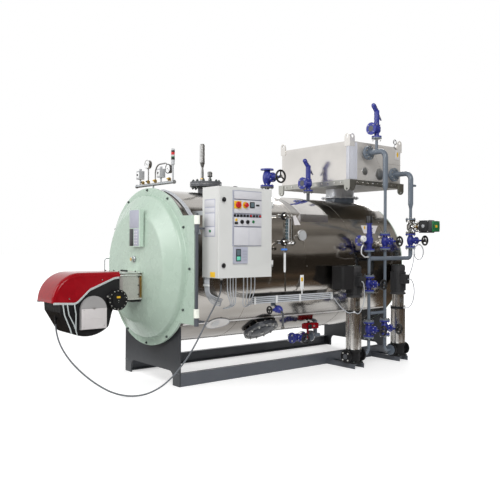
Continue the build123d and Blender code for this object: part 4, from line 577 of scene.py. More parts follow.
def add_wheel_grips():
    for wheel in WHEELS:
        low, high = [Vector(c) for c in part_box(wheel + "_handwheel")]
        centre = (low + high) / 2
        across = low.y + RIM_DEPTH if high.y - low.y < 0.03 else centre.y
        grip = Piece(wheel + "_handwheel_grip", wheel + "_wheel")
        grip.torus((centre.x, across, centre.z), NEAR, (high.z - low.z) / 2 - RIM_DEPTH, 0.0108,
            "black", 48)
        grip.done()


add_wheel_grips()


@makes("damper_neck", "door")
def damper_neck(p):
    """Short neck that carries the round damper cover on the burner's side."""
    low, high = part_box("damper_cover")
    p.turned(((low[0] + high[0]) / 2, high[1] - 0.0005, (low[2] + high[2]) / 2), FAR,
        ((0.072, 0), (0.072, 0.003), (0.066, 0.006), (0.066, 0.016)), "black_cast", 32)


@makes("level_drain_sleeve")
def drain_sleeve(p):
    """A white hose pushed over the upper part of the level gauge's drain."""
    p.turned(at(0.995, LEVEL_Y, 1.255), DOWN, ((0.0115, 0), (0.0115, 0.185), (0.009, 0.205)), "white", 20)
    p.rod(at(0.995, LEVEL_Y, 1.257), DOWN, 0.0135, 0.014, "bolt", 20)


@makes("sampling_valve")
def sampling_valve(p):
    """The small valve under the shell's near side: a stub from the shell, its body and wheel."""
    degrees = -30
    foot, away = on_shell(1.025, degrees), shell_normal(degrees)
    body = foot + away * 0.1
    p.turned(foot - away * 0.004, away, ((0.03, 0), (0.03, 0.006), (0.013, 0.01), (0.013, 0.062)),
        "pipe", 24)
    p.turned(body - away * 0.042, away, ((0.022, 0), (0.03, 0.012), (0.037, 0.03), (0.037, 0.05),
        (0.03, 0.068), (0.022, 0.08)), "blue", 32)
    p.turned(body + AHEAD * 0.02, AHEAD, ((0.03, 0), (0.028, 0.022), (0.016, 0.03), (0.014, 0.06)),
        "blue", 28)
    p.rod(body + AHEAD * 0.078, AHEAD, 0.007, 0.055, "bolt", 16)
    wheel = body + AHEAD * 0.125
    p.torus(wheel, AHEAD, 0.034, 0.0085, "black", 36, 10)
    p.rod(wheel + BACK * 0.008, AHEAD, 0.011, 0.016, "black", 16)
    for turn in (0.5, 2.6, 4.7):
        spoke = Vector((0, cos(turn), sin(turn))) * 0.017
        p.tube((wheel, wheel + spoke, wheel + spoke * 2), 0.0055, "black", 0.001, 8)
    end = body + away * 0.038
    elbow = end + away * 0.03
    p.tube((end, elbow, elbow + DOWN * 0.14), 0.011, "flange", 0.025)
    p.rod(elbow + DOWN * 0.128, DOWN, 0.017, 0.022, "bolt", 6)


@makes("burner_conduits", "door")
def burner_conduits(p):
    """Three pale conduits from under the hood down round the fan housing."""
    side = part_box("burner_body")[0][1]
    for start, end, drop in ((-0.985, -0.92, 0.575), (-0.945, -0.885, 0.61), (-0.88, -0.868, 0.56)):
        p.tube((at(start, side - 0.002, 0.8), at(start, side - 0.012, 0.77),
            at(start + 0.012, side - 0.012, 0.7), at(end, side - 0.01, drop),
            at(end + 0.02, side + 0.006, drop - 0.045)), 0.0055, "trim", sides=10)


# Boiler shell: sheet laps, the raised sheet round the safety valve and the tear-shaped hand hole
SHELL_LAPS = (0.66, 1.38, 2.12, 2.72)
LOW_SEAM = -43.3


@makes("shell_seams")
def shell_seams(p):
    shell_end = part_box("boiler_shell")[1][0] - FRONT
    for along in SHELL_LAPS:
        p.shell_sheet((along, along + 0.03), (-86, 266), 0.0016, "cladding", 120)
        for degrees in range(-80, 261, 20):
            p.screw(on_shell(along + 0.015, degrees, 0.0016), shell_normal(degrees), 0.005)
    for low, high in ((LOW_SEAM, LOW_SEAM - 1.6), (180 - LOW_SEAM, 181.6 - LOW_SEAM)):
        p.shell_sheet((0.02, shell_end - 0.02), (low, high), 0.0022, "pale_cladding", 2)
        middle = (low + high) / 2
        for i in range(12):
            spot = 0.1 + i * (shell_end - 0.2) / 11
            p.screw(on_shell(spot, middle, 0.0022), shell_normal(middle), 0.005)


@makes("top_sheet")
def top_sheet(p):
    """The polished sheet that stands off the shell round the valves, and the pale fold below it."""
    sheet = ((79, 0.01), (74, 0.013), (69, 0.017), (64, 0.022), (59, 0.027), (54, 0.033), (49, 0.04),
        (43, 0.048))
    fold = ((43, 0.0488), (42.6, 0.049), (38.6, 0.009), (38.2, 0.001))
    for low, high, outline, look in ((1.455, 1.86, sheet, "mirror"), (1.451, 1.864, fold, "fold")):
        p.rows([[on_shell(low, degrees, 0), on_shell(low, degrees, lift), on_shell(high, degrees, lift),
            on_shell(high, degrees, 0)] for degrees, lift in outline], look)
    for along in (1.49, 1.6, 1.71, 1.82):
        p.screw(on_shell(along, 40.6, 0.029), shell_normal(0), 0.006)
        p.screw(on_shell(along, 77, 0.0115), shell_normal(77), 0.006)


@makes("hand_hole_cover")
def hand_hole(p):
    """A tear-shaped cover with a rolled edge, low on the cladding."""
    along, middle = 0.4, -46
    away = shell_normal(middle)
    edge = []
    for i in range(36):
        turn = 2 * pi * i / 36
        reach = 0.105 * (1 + 0.55 * max(0, cos(turn)) ** 3)
        edge.append((along + reach * cos(turn), middle + reach * 0.72 * sin(turn) / SHELL_R * 180 / pi))
    rim = [on_shell(*spot, 0.003) for spot in edge]
    p.plate([on_shell(*spot) for spot in edge], away * 0.004, "pale_cladding")
    p.sweep(rim + rim[:1], 0.0035, "galvanised", 8)
    p.disc(on_shell(along, middle, 0.003), away, 0.042, 0.004, "white")
    p.screw(on_shell(along + 0.03, middle + 6, 0.004), away, 0.006, "dark_bolt")


# Front door: rim bolts, weld bead, the instrument box's front and the sight glass
RIM_FACE = -0.0483
DOOR_FACE = -0.2013


@makes("door_bolts", "door")
def door_bolts(p):
    p.ring(at(RIM_FACE, 0, AXIS_Z), AHEAD, 0.745, 12, 0.0105, "dark_bolt", 0)
    p.torus(at(RIM_FACE, 0, AXIS_Z), AHEAD, 0.698, 0.004, "mint", 96, 8)


@makes("instrument_front", "door")
def instrument_front(p):
    """Bare plates on the door's instrument box: one wide, a dark window and a narrow one."""
    low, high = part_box("door_instrument_box")
    face, right, left = low[0], low[1] + 0.02, high[1] - 0.004
    for out, y0, z0, y1, z1, look in ((0.002, right, 1.47, left, 1.64, "plate"),
            (0.003, -0.072, 1.3, left, 1.463, "black"), (0.002, right, 1.3, -0.082, 1.463, "plate")):
        p.block((face - out, y0, z0), (face, y1, z1), look)
    for row in range(5):
        up = 1.316 + row * 0.028
        for y in (right + 0.03, right + 0.062):
            p.block((face - 0.003, y, up), (face - 0.001, y + 0.022, up + 0.014), "field")
    for y in (right - 0.01, left - 0.008):
        for z in (1.296, 1.644):
            p.screw((face, y, z), AHEAD, 0.003)


@makes("sight_glass_lens", "door")
def sight_glass(p):
    centre = at(DOOR_FACE - 0.0385, -0.025, 1.174)
    p.turned(centre, AHEAD, ((0.0165, 0), (0.0165, 0.003), (0.0125, 0.003)), "brass", 32)
    p.rod(centre, AHEAD, 0.0125, 0.0015, "glass", 32)


@makes("burner_details", "door")
def burner_details(p):
    """The hood's trim and screws, and the raised lines and bolts of the side panel."""
    low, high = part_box("burner_hood")
    seam = ((-1.072, 0.808), (-0.865, 0.797), (-0.74, 0.914), (-0.5, 1.011), (-0.45, 1.016))
    for side in (low[1] - 0.0005, high[1] + 0.0005):
        p.tube([at(x, side, z) for x, z in seam], 0.0045, "trim", 0.08, 8)
        p.tube([at(x + 0.002, side * 0.985 + 0.0027, z - 0.009) for x, z in seam], 0.0065, "trim",
            0.08, 8)
    for x, z in ((-0.93, 0.84), (-0.62, 0.995)):
        p.screw(at(x, low[1], z), NEAR, 0.007)
    low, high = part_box("burner_side_panel")
    face = low[1]
    p.block((low[0] + 0.004, face - 0.0012, low[2] + 0.004), (high[0] - 0.004, face, 0.744),
        "grey_panel", 0.004)
    for end, low, top in ((-0.615, 0.655, 0.66), (-0.79, 0.592, 0.73)):
        p.card((-0.795, end), (low, top), face - 0.0008, 0.002, "grey_panel")
    for x in (-0.802, -0.608):
        for z in (0.587, 0.735):
            p.screw(at(x, face - 0.001, z), NEAR, 0.005)
    p.card((-0.716, -0.694), (0.74, 0.75), face, 0.006, "bolt")


@makes("damper_details", "door")
def damper_details(p):
    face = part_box("damper_cover")[0][1]
    rim = face + 0.006
    p.ring(at(-0.478, rim, 0.809), NEAR, 0.083, 14, 0.0045)
    p.card((-0.496, -0.46), (0.826, 0.844), face, 0.001, "yellow")
    p.screw(at(-0.478, face, 0.805), NEAR, 0.005)
    p.screw(at(-0.478, face, 0.79), NEAR, 0.004)
    p.turned(at(-0.585, rim + 0.01, 0.845), NEAR, ((0.008, 0), (0.008, 0.02), (0.005, 0.022)),
        "bolt", 16)


@makes("mount_details", "door")
def mount_details(p):
    """Bolts along the burner mount's rails, corner clips and the bracket under it."""
    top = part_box("burner_mount")[1][2]
    for z in (top - 0.007, top - 0.03):
        p.sweep([at(x, -0.1665, z) for x in (-0.441, -0.33, -0.206)], 0.0055, "chrome", 10)
    p.block(at(-0.2065, -0.164, 0.812), at(-0.1995, -0.12, 1.04), "brass", 0.002)
    for y in (-0.045, 0, 0.045):
        p.turned(at(-0.3, y, top - 0.001), UP, ((0.015, 0), (0.015, 0.012), (0.009, 0.016)),
            "black_cast", 6)
    for x in (-0.425, -0.34, -0.25):
        for y in (-0.13, 0.13):
            p.bolt(at(x, y, top - 0.001), UP, 0.008, "dark_bolt")
    for z in (0.845, 0.93, 1.01):
        p.bolt(at(-0.235, -0.1605, z), NEAR, 0.006, "dark_bolt")
    p.block(at(-0.3, -0.15, 0.775), at(-0.2, 0.15, 0.806), "black_cast", 0.003)
    for y in (-0.12, -0.04, 0.04, 0.12):
        p.bolt(at(-0.3, y, 0.79), AHEAD, 0.007, "dark_bolt")
    p.block(at(-0.445, -0.12, 0.985), at(-0.437, 0.12, 1.045), "stainless", 0.002)


@makes("hinge_caps")
def hinge_caps(p):
    for z in (AXIS_Z - 0.344, AXIS_Z + 0.481):
        p.turned(at(-0.0373, -0.838, z), UP, ((0.012, 0), (0.012, 0.012), (0.008, 0.015)),
            "dark_bolt", 20)


# Gauges and switches on the header
def add_dial(p, centre, facing, radius, spread=135, marks=11, angle=-40):
    """A white dial with marks, a pointer and a hub, in front of a gauge's case."""
    facing, side, across = axes(facing)
    p.rod(centre, facing, radius * 0.93, 0.0015, "white", 48)
    face = Vector(centre) + facing * 0.0018

    def ray_at(degrees, width):
        turn = radians(degrees)
        ray = (across * cos(turn) + side * sin(turn)) * radius
        return ray, ray.cross(facing) * width

    for i in range(marks):
        ray, square = ray_at(-spread + 2 * spread * i / (marks - 1), 0.02)
        inner, outer = face + ray * 0.72, face + ray * 0.86
        p.plate((inner - square, outer - square, outer + square, inner + square), facing * 0.0004,
            "black")
    ray, square = ray_at(angle, 0.035)
    tail = face - ray * 0.2
    p.plate((tail - square, face + ray * 0.66, tail + square), facing * 0.001, "black")
    p.disc(face, facing, radius * 0.1, 0.002, "black", 0.0004, 16)


@makes("gauge_dials")
def gauge_dials(p):
    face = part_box("pressure_gauges")[0][0] - 0.0001
    for y, z, ring in ((0.126, 2.115, "chrome"), (-0.264, 2.038, "black")):
        add_dial(p, (face, y, z), AHEAD, 0.042)
        p.torus((face, y, z), AHEAD, 0.0425, 0.0045, ring, 48, 10)


@makes("sensor_details")
def sensor_details(p):
    """Caps, keys and rings on the switches and the transmitter, and the header's small valves."""
    for y, z in ((0.286, 1.975), (-0.114, 1.965)):
        p.block(at(0.0035, y - 0.024, z + 0.014), at(0.006, y + 0.024, z + 0.072), "white", 0.002)
        p.disc(at(0.0035, y + 0.006, z + 0.045), AHEAD, 0.012, 0.003, "black")
        for dy in (-0.02, 0.02):
            p.screw(at(0.0035, y + dy, z + 0.018), AHEAD, 0.0025)
    for low, high, look in ((2.118, 2.14, "black"), (2.14, 2.148, "green"), (2.166, 2.19, "red_plastic"),
            (2.19, 2.207, "black")):
        p.rod(at(0.035, -0.328, low), UP, 0.0178, high - low, look, 24)
    for y, look in ((0.126, "black"), (0.232, "black"), (-0.007, "yellow"), (-0.264, "yellow")):
        p.turned(at(0.035, y, 1.925), UP, ((0.014, 0), (0.017, 0.006), (0.017, 0.024), (0.012, 0.03)),
            "brass", 20)
        p.tube((at(0.035, y, 1.941), at(0.005, y, 1.941), at(0.001, y - 0.032, 1.945)), 0.0045, look,
            0.01, 8)


# Nozzles on top
PROBES_X, STEAM_X, SAFETY_X = 0.65, 1.495, 2.14


def flange_bolts(p, centre, direction, circle, count, radius, grip, look="bolt"):
    """Bolts with a head on one face of a flange pair and a nut on the other, grip apart."""
    half = Vector(direction).normalized() * (grip / 2)
    p.ring(Vector(centre) + half, half, circle, count, radius, look)
    p.ring(Vector(centre) - half, -half, circle, count, radius, look, -0.5)


@makes("nozzle_bolts")
def nozzle_bolts(p):
    probes = at(PROBES_X, 0, 1.941)
    duct = at(2.7465, 0.052, 1.902)
    flange_bolts(p, probes, UP, 0.138, 12, 0.014, 0.0525, "dark_bolt")
    flange_bolts(p, at(STEAM_X, 0, 1.971), UP, 0.055, 4, 0.008, 0.033)
    flange_bolts(p, at(SAFETY_X, 0, 1.953), UP, 0.042, 4, 0.007, 0.032)
    flange_bolts(p, duct, UP, 0.214, 20, 0.007, 0.0122)
    p.turned(duct + DOWN * 0.102, UP, ((0.1775, 0), (0.1775, 0.092), (0.1745, 0.0955)), "pipe", 64)
    p.torus(probes, UP, 0.166, 0.002, "galvanised", 64, 6)


@makes("probe_details")
def probe_details(p):
    """Heads and rings of the level probes, and the dark dome behind them."""
    p.turned(at(0.604, 0, 2.352), UP, ((0.022, 0), (0.022, 0.006), (0.016, 0.01)), "black")
    p.rod(at(0.604, 0, 1.993), UP, 0.0245, 0.012, "brass", 6)
    for z in (2.029, 2.063):
        p.rod(at(0.702, 0, z), UP, 0.0268, 0.006, "black", 32)
    p.turned(at(1.034, 0, 1.846), UP, ((0.055, 0), (0.055, 0.05), (0.05, 0.075), (0.035, 0.095),
        (0.012, 0.103)), "black_cast")


# Valves: flange bolts, bonnet bolts, gland nuts and spindle nuts
def dress_valve(p, centre, axis, reach):
    """Bolts of a straight valve whose spindle faces the cabinet's side, with its nut at reach."""
    for end in (-0.08, 0.08):
        flange_bolts(p, centre + axis * end, axis, 0.04292, 4, 0.0075, 0.034)
    p.ring(centre + NEAR * reach * 0.42, NEAR, 0.03612, 6, 0.0045)
    p.rod(centre + NEAR * reach * 0.56, NEAR, 0.0126, 0.012, "bolt", 6)
    p.rod(centre + NEAR * (reach - 0.0045), NEAR, 0.011, 0.007, "bolt", 6)


PIPE_X = {"near": 2.262, "far": 2.534, "right": 2.998}
INLET_Y = -0.709
FEED_VALVES = (("near", 0.392), ("near", 0.891), ("far", 0.392), ("far", 1.362), ("right", 1.3737))


@makes("feed_valve_bolts")
def feed_valve_bolts(p):
    for pipe, z in FEED_VALVES:
        dress_valve(p, at(PIPE_X[pipe], PUMP_Y, z), UP, 0.212)


@makes("steam_valve_bolts")
def steam_valve_bolts(p):
    centre = at(STEAM_X, 0, 2.071)
    p.ring(centre + NEAR * 0.1008, NEAR, 0.045, 6, 0.005)
    p.rod(centre + NEAR * 0.1344, NEAR, 0.016, 0.014, "bolt", 6)
    p.rod(centre + NEAR * 0.2355, NEAR, 0.011, 0.007, "bolt", 6)


# Feed pumps: bands, couplings, port bolts, cooling ribs and fan grilles
PUMPS = (2.015, 2.771)


@makes("pump_details")
def pump_details(p):
    for x in PUMPS:
        for z, radius, height, look in ((0.1985, 0.0715, 0.01, "chrome"),
                (0.578, 0.0715, 0.012, "chrome"), (0.5905, 0.0848, 0.029, "black_cast"),
                (0.7572, 0.087, 0.018, "motor")):
            p.rod(at(x, PUMP_Y, z), UP, radius, height, look, 48)
        for out in (AHEAD, BACK):
            port = at(x, PUMP_Y, 0.128) + out * 0.125
            p.turned(port, out, ((0.066, 0), (0.066, 0.004), (0.06, 0.005)), "black_cast")
            p.ring(port + out * 0.004, out, 0.05, 4, 0.0075)
            p.rod(port + out * 0.004, out, 0.028, 0.006, "flange", 32)
        p.ring(at(x, PUMP_Y, 0.62), UP, 0.077, 4, 0.008)
        for dx in (-0.062, 0.062):
            for dy in (-0.062, 0.062):
                p.bolt(at(x + dx, PUMP_Y + dy, 0.0665), UP, 0.007, "dark_bolt")
        p.rod(at(x, PUMP_Y, 0.66), UP, 0.034, 0.05, "galvanised", 24)


@makes("motor_ribs")
def motor_ribs(p):
    """Cooling ribs round the motors and a grille on the fan cowls."""
    for x in PUMPS:
        for i in range(30):
            turn = 2 * pi * i / 30
            ray = Vector((cos(turn), sin(turn), 0))
            side = Vector((-ray.y, ray.x, 0)) * 0.0016
            foot = at(x, PUMP_Y, 0.8) + ray * 0.078
            top = foot + ray * 0.01
            p.plate((foot - side, foot + side, top + side, top - side), UP * 0.215, "motor")
        cowl = at(x, PUMP_Y, 1.0955)
        for radius in (0.018, 0.034, 0.05, 0.066):
            p.torus(cowl, UP, radius, 0.0016, "dark_bolt", 40, 6)
        p.screw(cowl, UP, 0.008)


# Economizer: folded strips, frame bolts, seams, half-round covers and a tag
def oval(middle, width, height):
    """The outline of a flat oval that faces the cabinet's side."""
    return [Vector(middle) + Vector((width * cos(a), 0, height * sin(a)))
        for a in [pi * k / 8 for k in range(16)]]


@makes("economizer_details")
def economizer_details(p):
    frame_low, frame_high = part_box("economizer_frame")
    x0, y0 = 0.798, -0.528
    # corner strips, from the frame up to the roof
    for a, out, b, back in ((-0.004, 0.004, 0.118, 0.0005), (-0.004, 0.004, 0.0005, 0.05),
            (0.112, 0.009, 0.12, 0.0005), (0.036, 0.0065, 0.046, -0.003)):
        p.block((x0 + a, y0 - out, 2.071), (x0 + b, y0 + back, 2.5), "strip", 0.002)
    # folds and seams on the near face
    for a, z0, b, z1 in ((0.36, 2.5, 0.62, 2.12), (0.12, 2.2, 0.34, 2.2), (0.66, 2.3, 0.92, 2.3)):
        start, end = Vector((x0 + a, y0 - 0.001, z0)), Vector((x0 + b, y0 - 0.001, z1))
        p.sweep((start, (start + end) / 2, end), 0.0025, "casing", 6)
    for i in range(10):
        p.screw((x0 + 0.15 + i * 0.084, y0, 2.485), NEAR, 0.004)
    # half-round inspection covers
    p.turned((x0 + 0.52, y0, 2.16), NEAR, ((0.068, 0), (0.068, 0.008), (0.05, 0.012), (0.02, 0.014)),
        "galvanised")
    p.turned((x0 + 0.26, y0, 2.18), NEAR, ((0.045, 0), (0.045, 0.006), (0.03, 0.01)), "galvanised")
    # frame bolts on all four sides
    for i in range(9):
        along = frame_low[0] + 0.14 + i * (frame_high[0] - frame_low[0] - 0.28) / 8
        p.bolt((along, -0.546, 2.039), NEAR, 0.009, "chrome")
        p.bolt((along, 0.65, 2.039), FAR, 0.008)
    for i in range(10):
        across = -0.416 + i * 0.936 / 9
        p.bolt((0.78, across, 2.039), AHEAD, 0.009, "chrome")
        p.bolt((1.743, across, 2.039), BACK, 0.008)
    # loop of wire at the far corner, and the bare tag that hangs from it
    face = y0 - 0.004
    p.torus((1.603, face, 2.575), NEAR, 0.028, 0.0035, "dull_steel", 32, 8)
    p.torus((1.615, y0, 2.569), NEAR, 0.024, 0.003, "dull_steel", 32, 8)
    for line in (((1.606, face, 2.547), (1.59, face, 2.512), (1.64, face, 2.482)),
            ((1.613, y0, 2.545), (1.622, y0 + 0.02, 2.523), (1.622, y0 + 0.05, 2.516))):
        p.tube(line, 0.003, "dull_steel", 0.01, 8)
    p.block((1.612, y0 - 0.005, 2.362), (1.688, y0 - 0.001, 2.484), "tag")
    p.plate(oval((1.655, y0 - 0.0052, 2.425), 0.017, 0.034), NEAR * 0.0006, "yellow")
    # lid screws
    for i in range(6):
        for y in (-0.43, 0.53):
            p.screw((x0 + 0.11 + i * 0.141, y, 2.524), UP, 0.005)


@makes("economizer_flange_bolts")
def economizer_bolts(p):
    for pipe, z in (("far", 2.385), ("right", 2.165)):
        flange_bolts(p, at(PIPE_X[pipe], -0.5935, z), NEAR, 0.062, 8, 0.0075, 0.0345)
    p.ring(at(PIPE_X["far"], INLET_Y, 2.5495), UP, 0.042, 4, 0.007)
    p.ring(at(PIPE_X["far"], INLET_Y, 2.517), DOWN, 0.042, 4, 0.007, phase=-0.5)


# Safety and relief valves
def dress_safety_valve(p, foot, outlet):
    """Bonnet bolts, the outlet's bolts and bore, and the cap's pin and lever on a safety valve."""
    p.ring(foot + UP * 0.1426, UP, 0.036, 4, 0.0055)
    face = foot + UP * 0.092 + outlet * 0.1
    p.ring(face, outlet, 0.052, 4, 0.006)
    p.rod(face, outlet, 0.034, 0.0012, "flange", 32)
    tilt = radians(40)
    lean = outlet * sin(tilt) + UP * cos(tilt)
    cap = foot + UP * 0.2945
    side = outlet.cross(UP)
    p.rod(cap + lean * 0.052, lean, 0.0285, 0.01, "blue", 32)
    p.turned(cap + lean * 0.103, lean, ((0.015, 0), (0.012, 0.006), (0.004, 0.009)), "blue", 24)
    pin = cap + lean * 0.07
    p.tube((pin - side * 0.034, pin + side * 0.034), 0.0045, "bolt", 0.01, 10)
    for sign in (-1, 1):
        p.tube((pin + side * sign * 0.031, cap - lean * 0.03 + side * sign * 0.016,
            cap - lean * 0.112 + side * sign * 0.008), 0.0038, "bolt", 0.02, 8)


@makes("safety_valve_details")
def safety_details(p):
    dress_safety_valve(p, at(SAFETY_X, 0, 1.953), AHEAD)
    dress_safety_valve(p, at(PIPE_X["far"], INLET_Y, 2.5493), AHEAD)


@makes("relief_valve_details")
def relief_details(p):
    """The relief valve's black cap, its outlet's bolts and the gauge on the pipe in front."""
    pipe = PIPE_X["near"]
    foot = at(pipe, PUMP_Y, 1.262)
    p.turned(foot + UP * 0.293, UP, ((0.0352, 0), (0.0352, 0.08), (0.031, 0.0875), (0.012, 0.0885)),
        "black")
    p.rod(foot + UP * 0.29, UP, 0.037, 0.008, "blue", 8)
    outlet = foot + UP * 0.104 + AHEAD * 0.165
    p.ring(outlet, AHEAD, 0.043, 4, 0.0065)
    p.rod(outlet, AHEAD, 0.026, 0.0012, "flange", 32)
    # gauge on a bent tube from the pipe, and two bare tags tied below the cap
    centre = at(2.083, -0.908, 1.386)
    p.tube((at(2.25, -0.845, 1.188), at(2.13, -0.89, 1.188), at(2.04, -0.915, 1.225),
        at(2.052, -0.912, 1.29), centre - UP * 0.064), 0.0065, "white", 0.05)
    p.rod(at(2.25, -0.8455, 1.188), (-0.94, -0.34, 0), 0.013, 0.03, "bolt", 6)
    p.rod(centre - UP * 0.064, UP, 0.011, 0.03, "bolt", 6)
    p.turned(centre + FAR * 0.014, NEAR, ((0.026, 0), (0.034, 0.004), (0.034, 0.03), (0.031, 0.032)),
        "white")
    add_dial(p, centre + NEAR * 0.018, NEAR, 0.032)
    for outer, inner in ((pipe - 0.14, pipe - 0.04), (pipe + 0.14, pipe + 0.04)):
        p.plate((at(outer, PUMP_Y, 1.533), at(inner, PUMP_Y, 1.535), at(inner, PUMP_Y, 1.447),
            at((inner + outer) / 2, PUMP_Y, 1.447)), NEAR * 0.0015, "tag")
        p.tube((at(inner, PUMP_Y, 1.528), at((inner + pipe) / 2, PUMP_Y, 1.53), at(pipe, PUMP_Y, 1.526)),
            0.002, "bolt", 0.01, 6)
    p.plate(oval(at(2.182, PUMP_Y - 0.0015, 1.51), 0.013, 0.02), NEAR * 0.0006, "yellow")


@makes("actuator_details")
def actuator_details(p):
    """The control valve's bonnet bolts, and the actuator's end cap, seams, switch and screws."""
    low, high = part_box("valve_actuator")
    x, z, end = FRONT + PIPE_X["right"], 1.534, low[1]
    for x0, x1, half, out, back, look, edge in ((-0.061, 0.061, 0.061, -0.001, 0.024, "green", 0.008),
            (-0.034, 0.004, 0.014, -0.008, -0.004, "yellow", 0.001),
            (-0.0615, 0.0615, 0.0615, 0.024, 0.067, "motor", 0.004)):
        p.block((x + x0, end + out, z - half), (x + x1, end + back, z + half), look, edge)
    p.turned((x, end - 0.001, z), NEAR, ((0.04, 0), (0.04, 0.003), (0.034, 0.006)), "green")
    for rib in range(7):
        y = end + 0.084 + rib * 0.016
        p.block((low[0] - 0.0025, y, low[2] + 0.022), (low[0] + 0.001, y + 0.006, high[2] - 0.022),
            "motor")
    p.turned((low[0] - 0.001, end + 0.14, z + 0.004), AHEAD, ((0.02, 0), (0.02, 0.004), (0.016, 0.006)),
        "sensor", 32)
    for y in (end + 0.078, high[1] - 0.012):
        for up in (low[2] + 0.014, high[2] - 0.014):
            p.screw((low[0], y, up), AHEAD, 0.006)
    bonnet = Vector((x, PUMP_Y - 0.092, z))
    p.ring(bonnet, NEAR, 0.045, 6, 0.006, phase=0)
    p.turned(bonnet, NEAR, ((0.019, 0), (0.019, 0.012), (0.014, 0.016)), "brass", 6)
    p.rod(bonnet + NEAR * 0.036, NEAR, 0.018, 0.014, "brass", 24)
    for side in (-0.08, 0.08):
        flange_bolts(p, (x, PUMP_Y, z + side), UP, 0.043, 4, 0.0075, 0.034)


# Cabinet
PANEL_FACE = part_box("cabinet_door")[0][1]


@makes("cabinet_front", "panel_door")
def cabinet_front(p):
    """Bare plates with generic switches, lamps and a controller on the cabinet's door."""
    upper, lower = PANEL_FACE - 0.004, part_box("cabinet_controls")[0][1]
    for z0, z1 in ((1.722, 1.79), (1.598, 1.712), (1.483, 1.56), (1.312, 1.472)):
        p.card((0.202, 0.516), (z0, z1), upper, 0.001, "field", 0.0005)
    p.card((0.369, 0.372), (1.318, 1.466), upper - 0.0008, 0.0008, "plate")
    p.card((0.202, 0.282), (1.635, 1.703), upper, 0.004, "yellow", 0.002)
    p.turned(at(0.246, upper - 0.004, 1.669), NEAR, ((0.029, 0), (0.029, 0.006), (0.022, 0.01),
        (0.02, 0.02)), "red_plastic")
    p.card((0.24, 0.252), (1.645, 1.693), upper - 0.022, 0.012, "red_plastic", 0.002)
    stop = at(0.326, upper, 1.669)
    p.rod(stop, NEAR, 0.03, 0.003, "yellow")
    p.turned(stop, NEAR, ((0.013, 0), (0.013, 0.016), (0.021, 0.02), (0.021, 0.028), (0.016, 0.032)),
        "red_plastic")
    p.card((0.378, 0.432), (1.645, 1.699), upper, 0.008, "black", 0.003)
    p.card((0.386, 0.424), (1.653, 1.691), upper - 0.0075, 0.0025, "glass", 0.002)
    p.card((0.45, 0.488), (1.664, 1.679), upper, 0.006, "black", 0.002)
    for i in range(9):
        x = 0.212 + i * 0.036
        p.card((x - 0.013, x + 0.013), (1.564, 1.586), upper, 0.0015, "black", 0.0005)
        p.turned(at(x, upper, 1.575), NEAR, ((0.009, 0), (0.009, 0.004), (0.006, 0.008)),
            "red_plastic" if i in (5, 8) else "black", 20)
    for x in (0.289, 0.354):
        p.turned(at(x, upper, 1.52), NEAR, ((0.018, 0), (0.018, 0.004), (0.014, 0.006), (0.013, 0.014)),
            "black")
        p.card((x - 0.004, x + 0.004), (1.506, 1.534), upper - 0.012, 0.01, "black", 0.0015)
    p.turned(at(0.42, upper, 1.523), NEAR, ((0.014, 0), (0.014, 0.004), (0.01, 0.008)), "green")
    p.card((0.206, 0.244), (1.498, 1.518), upper, 0.006, "black", 0.002)
    p.turned(at(0.225, upper, 1.536), NEAR, ((0.013, 0), (0.013, 0.005), (0.009, 0.008)), "yellow")
    # controller on the lower plate
    p.card((0.226, 0.28), (1.172, 1.28), lower + 0.001, 0.003, "black", 0.003)
    for z0, z1, look in ((1.222, 1.272, "glass"), (1.18, 1.214, "screen")):
        p.card((0.233, 0.273), (z0, z1), lower - 0.0015, 0.0017, look)
    for row in range(4):
        up = 1.18 + row * 0.026
        p.card((0.302, 0.346), (up, up + 0.01), lower, 0.0012, "plate", 0.0005)


@makes("cabinet_locks", "panel_door")
def cabinet_locks(p):
    for z in (1.137, 1.709):
        p.turned(at(0.094, PANEL_FACE, z), NEAR, ((0.021, 0), (0.021, 0.004), (0.017, 0.008)), "black")
        p.card((0.09, 0.098), (z - 0.015, z + 0.015), PANEL_FACE - 0.006, 0.0115, "black", 0.0015)


@makes("cabinet_side")
def cabinet_side(p):
    """The plate on the cabinet's side with a key switch, and a blank yellow tag."""
    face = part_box("cabinet_box")[0][0]
    p.block((face - 0.002, -0.989, 1.387), (face, -0.833, 1.717), "plate", 0.0006)
    for z0, z1 in ((1.395, 1.47), (1.48, 1.59), (1.6, 1.64), (1.65, 1.708)):
        p.block((face - 0.003, -0.982, z0), (face - 0.0015, -0.84, z1), "field", 0.0005)
    p.turned((face - 0.003, -0.92, 1.436), AHEAD, ((0.012, 0), (0.012, 0.006), (0.008, 0.009)), "green")
    p.block((face - 0.001, -0.992, 1.032), (face, -0.92, 1.078), "yellow", 0.0004)


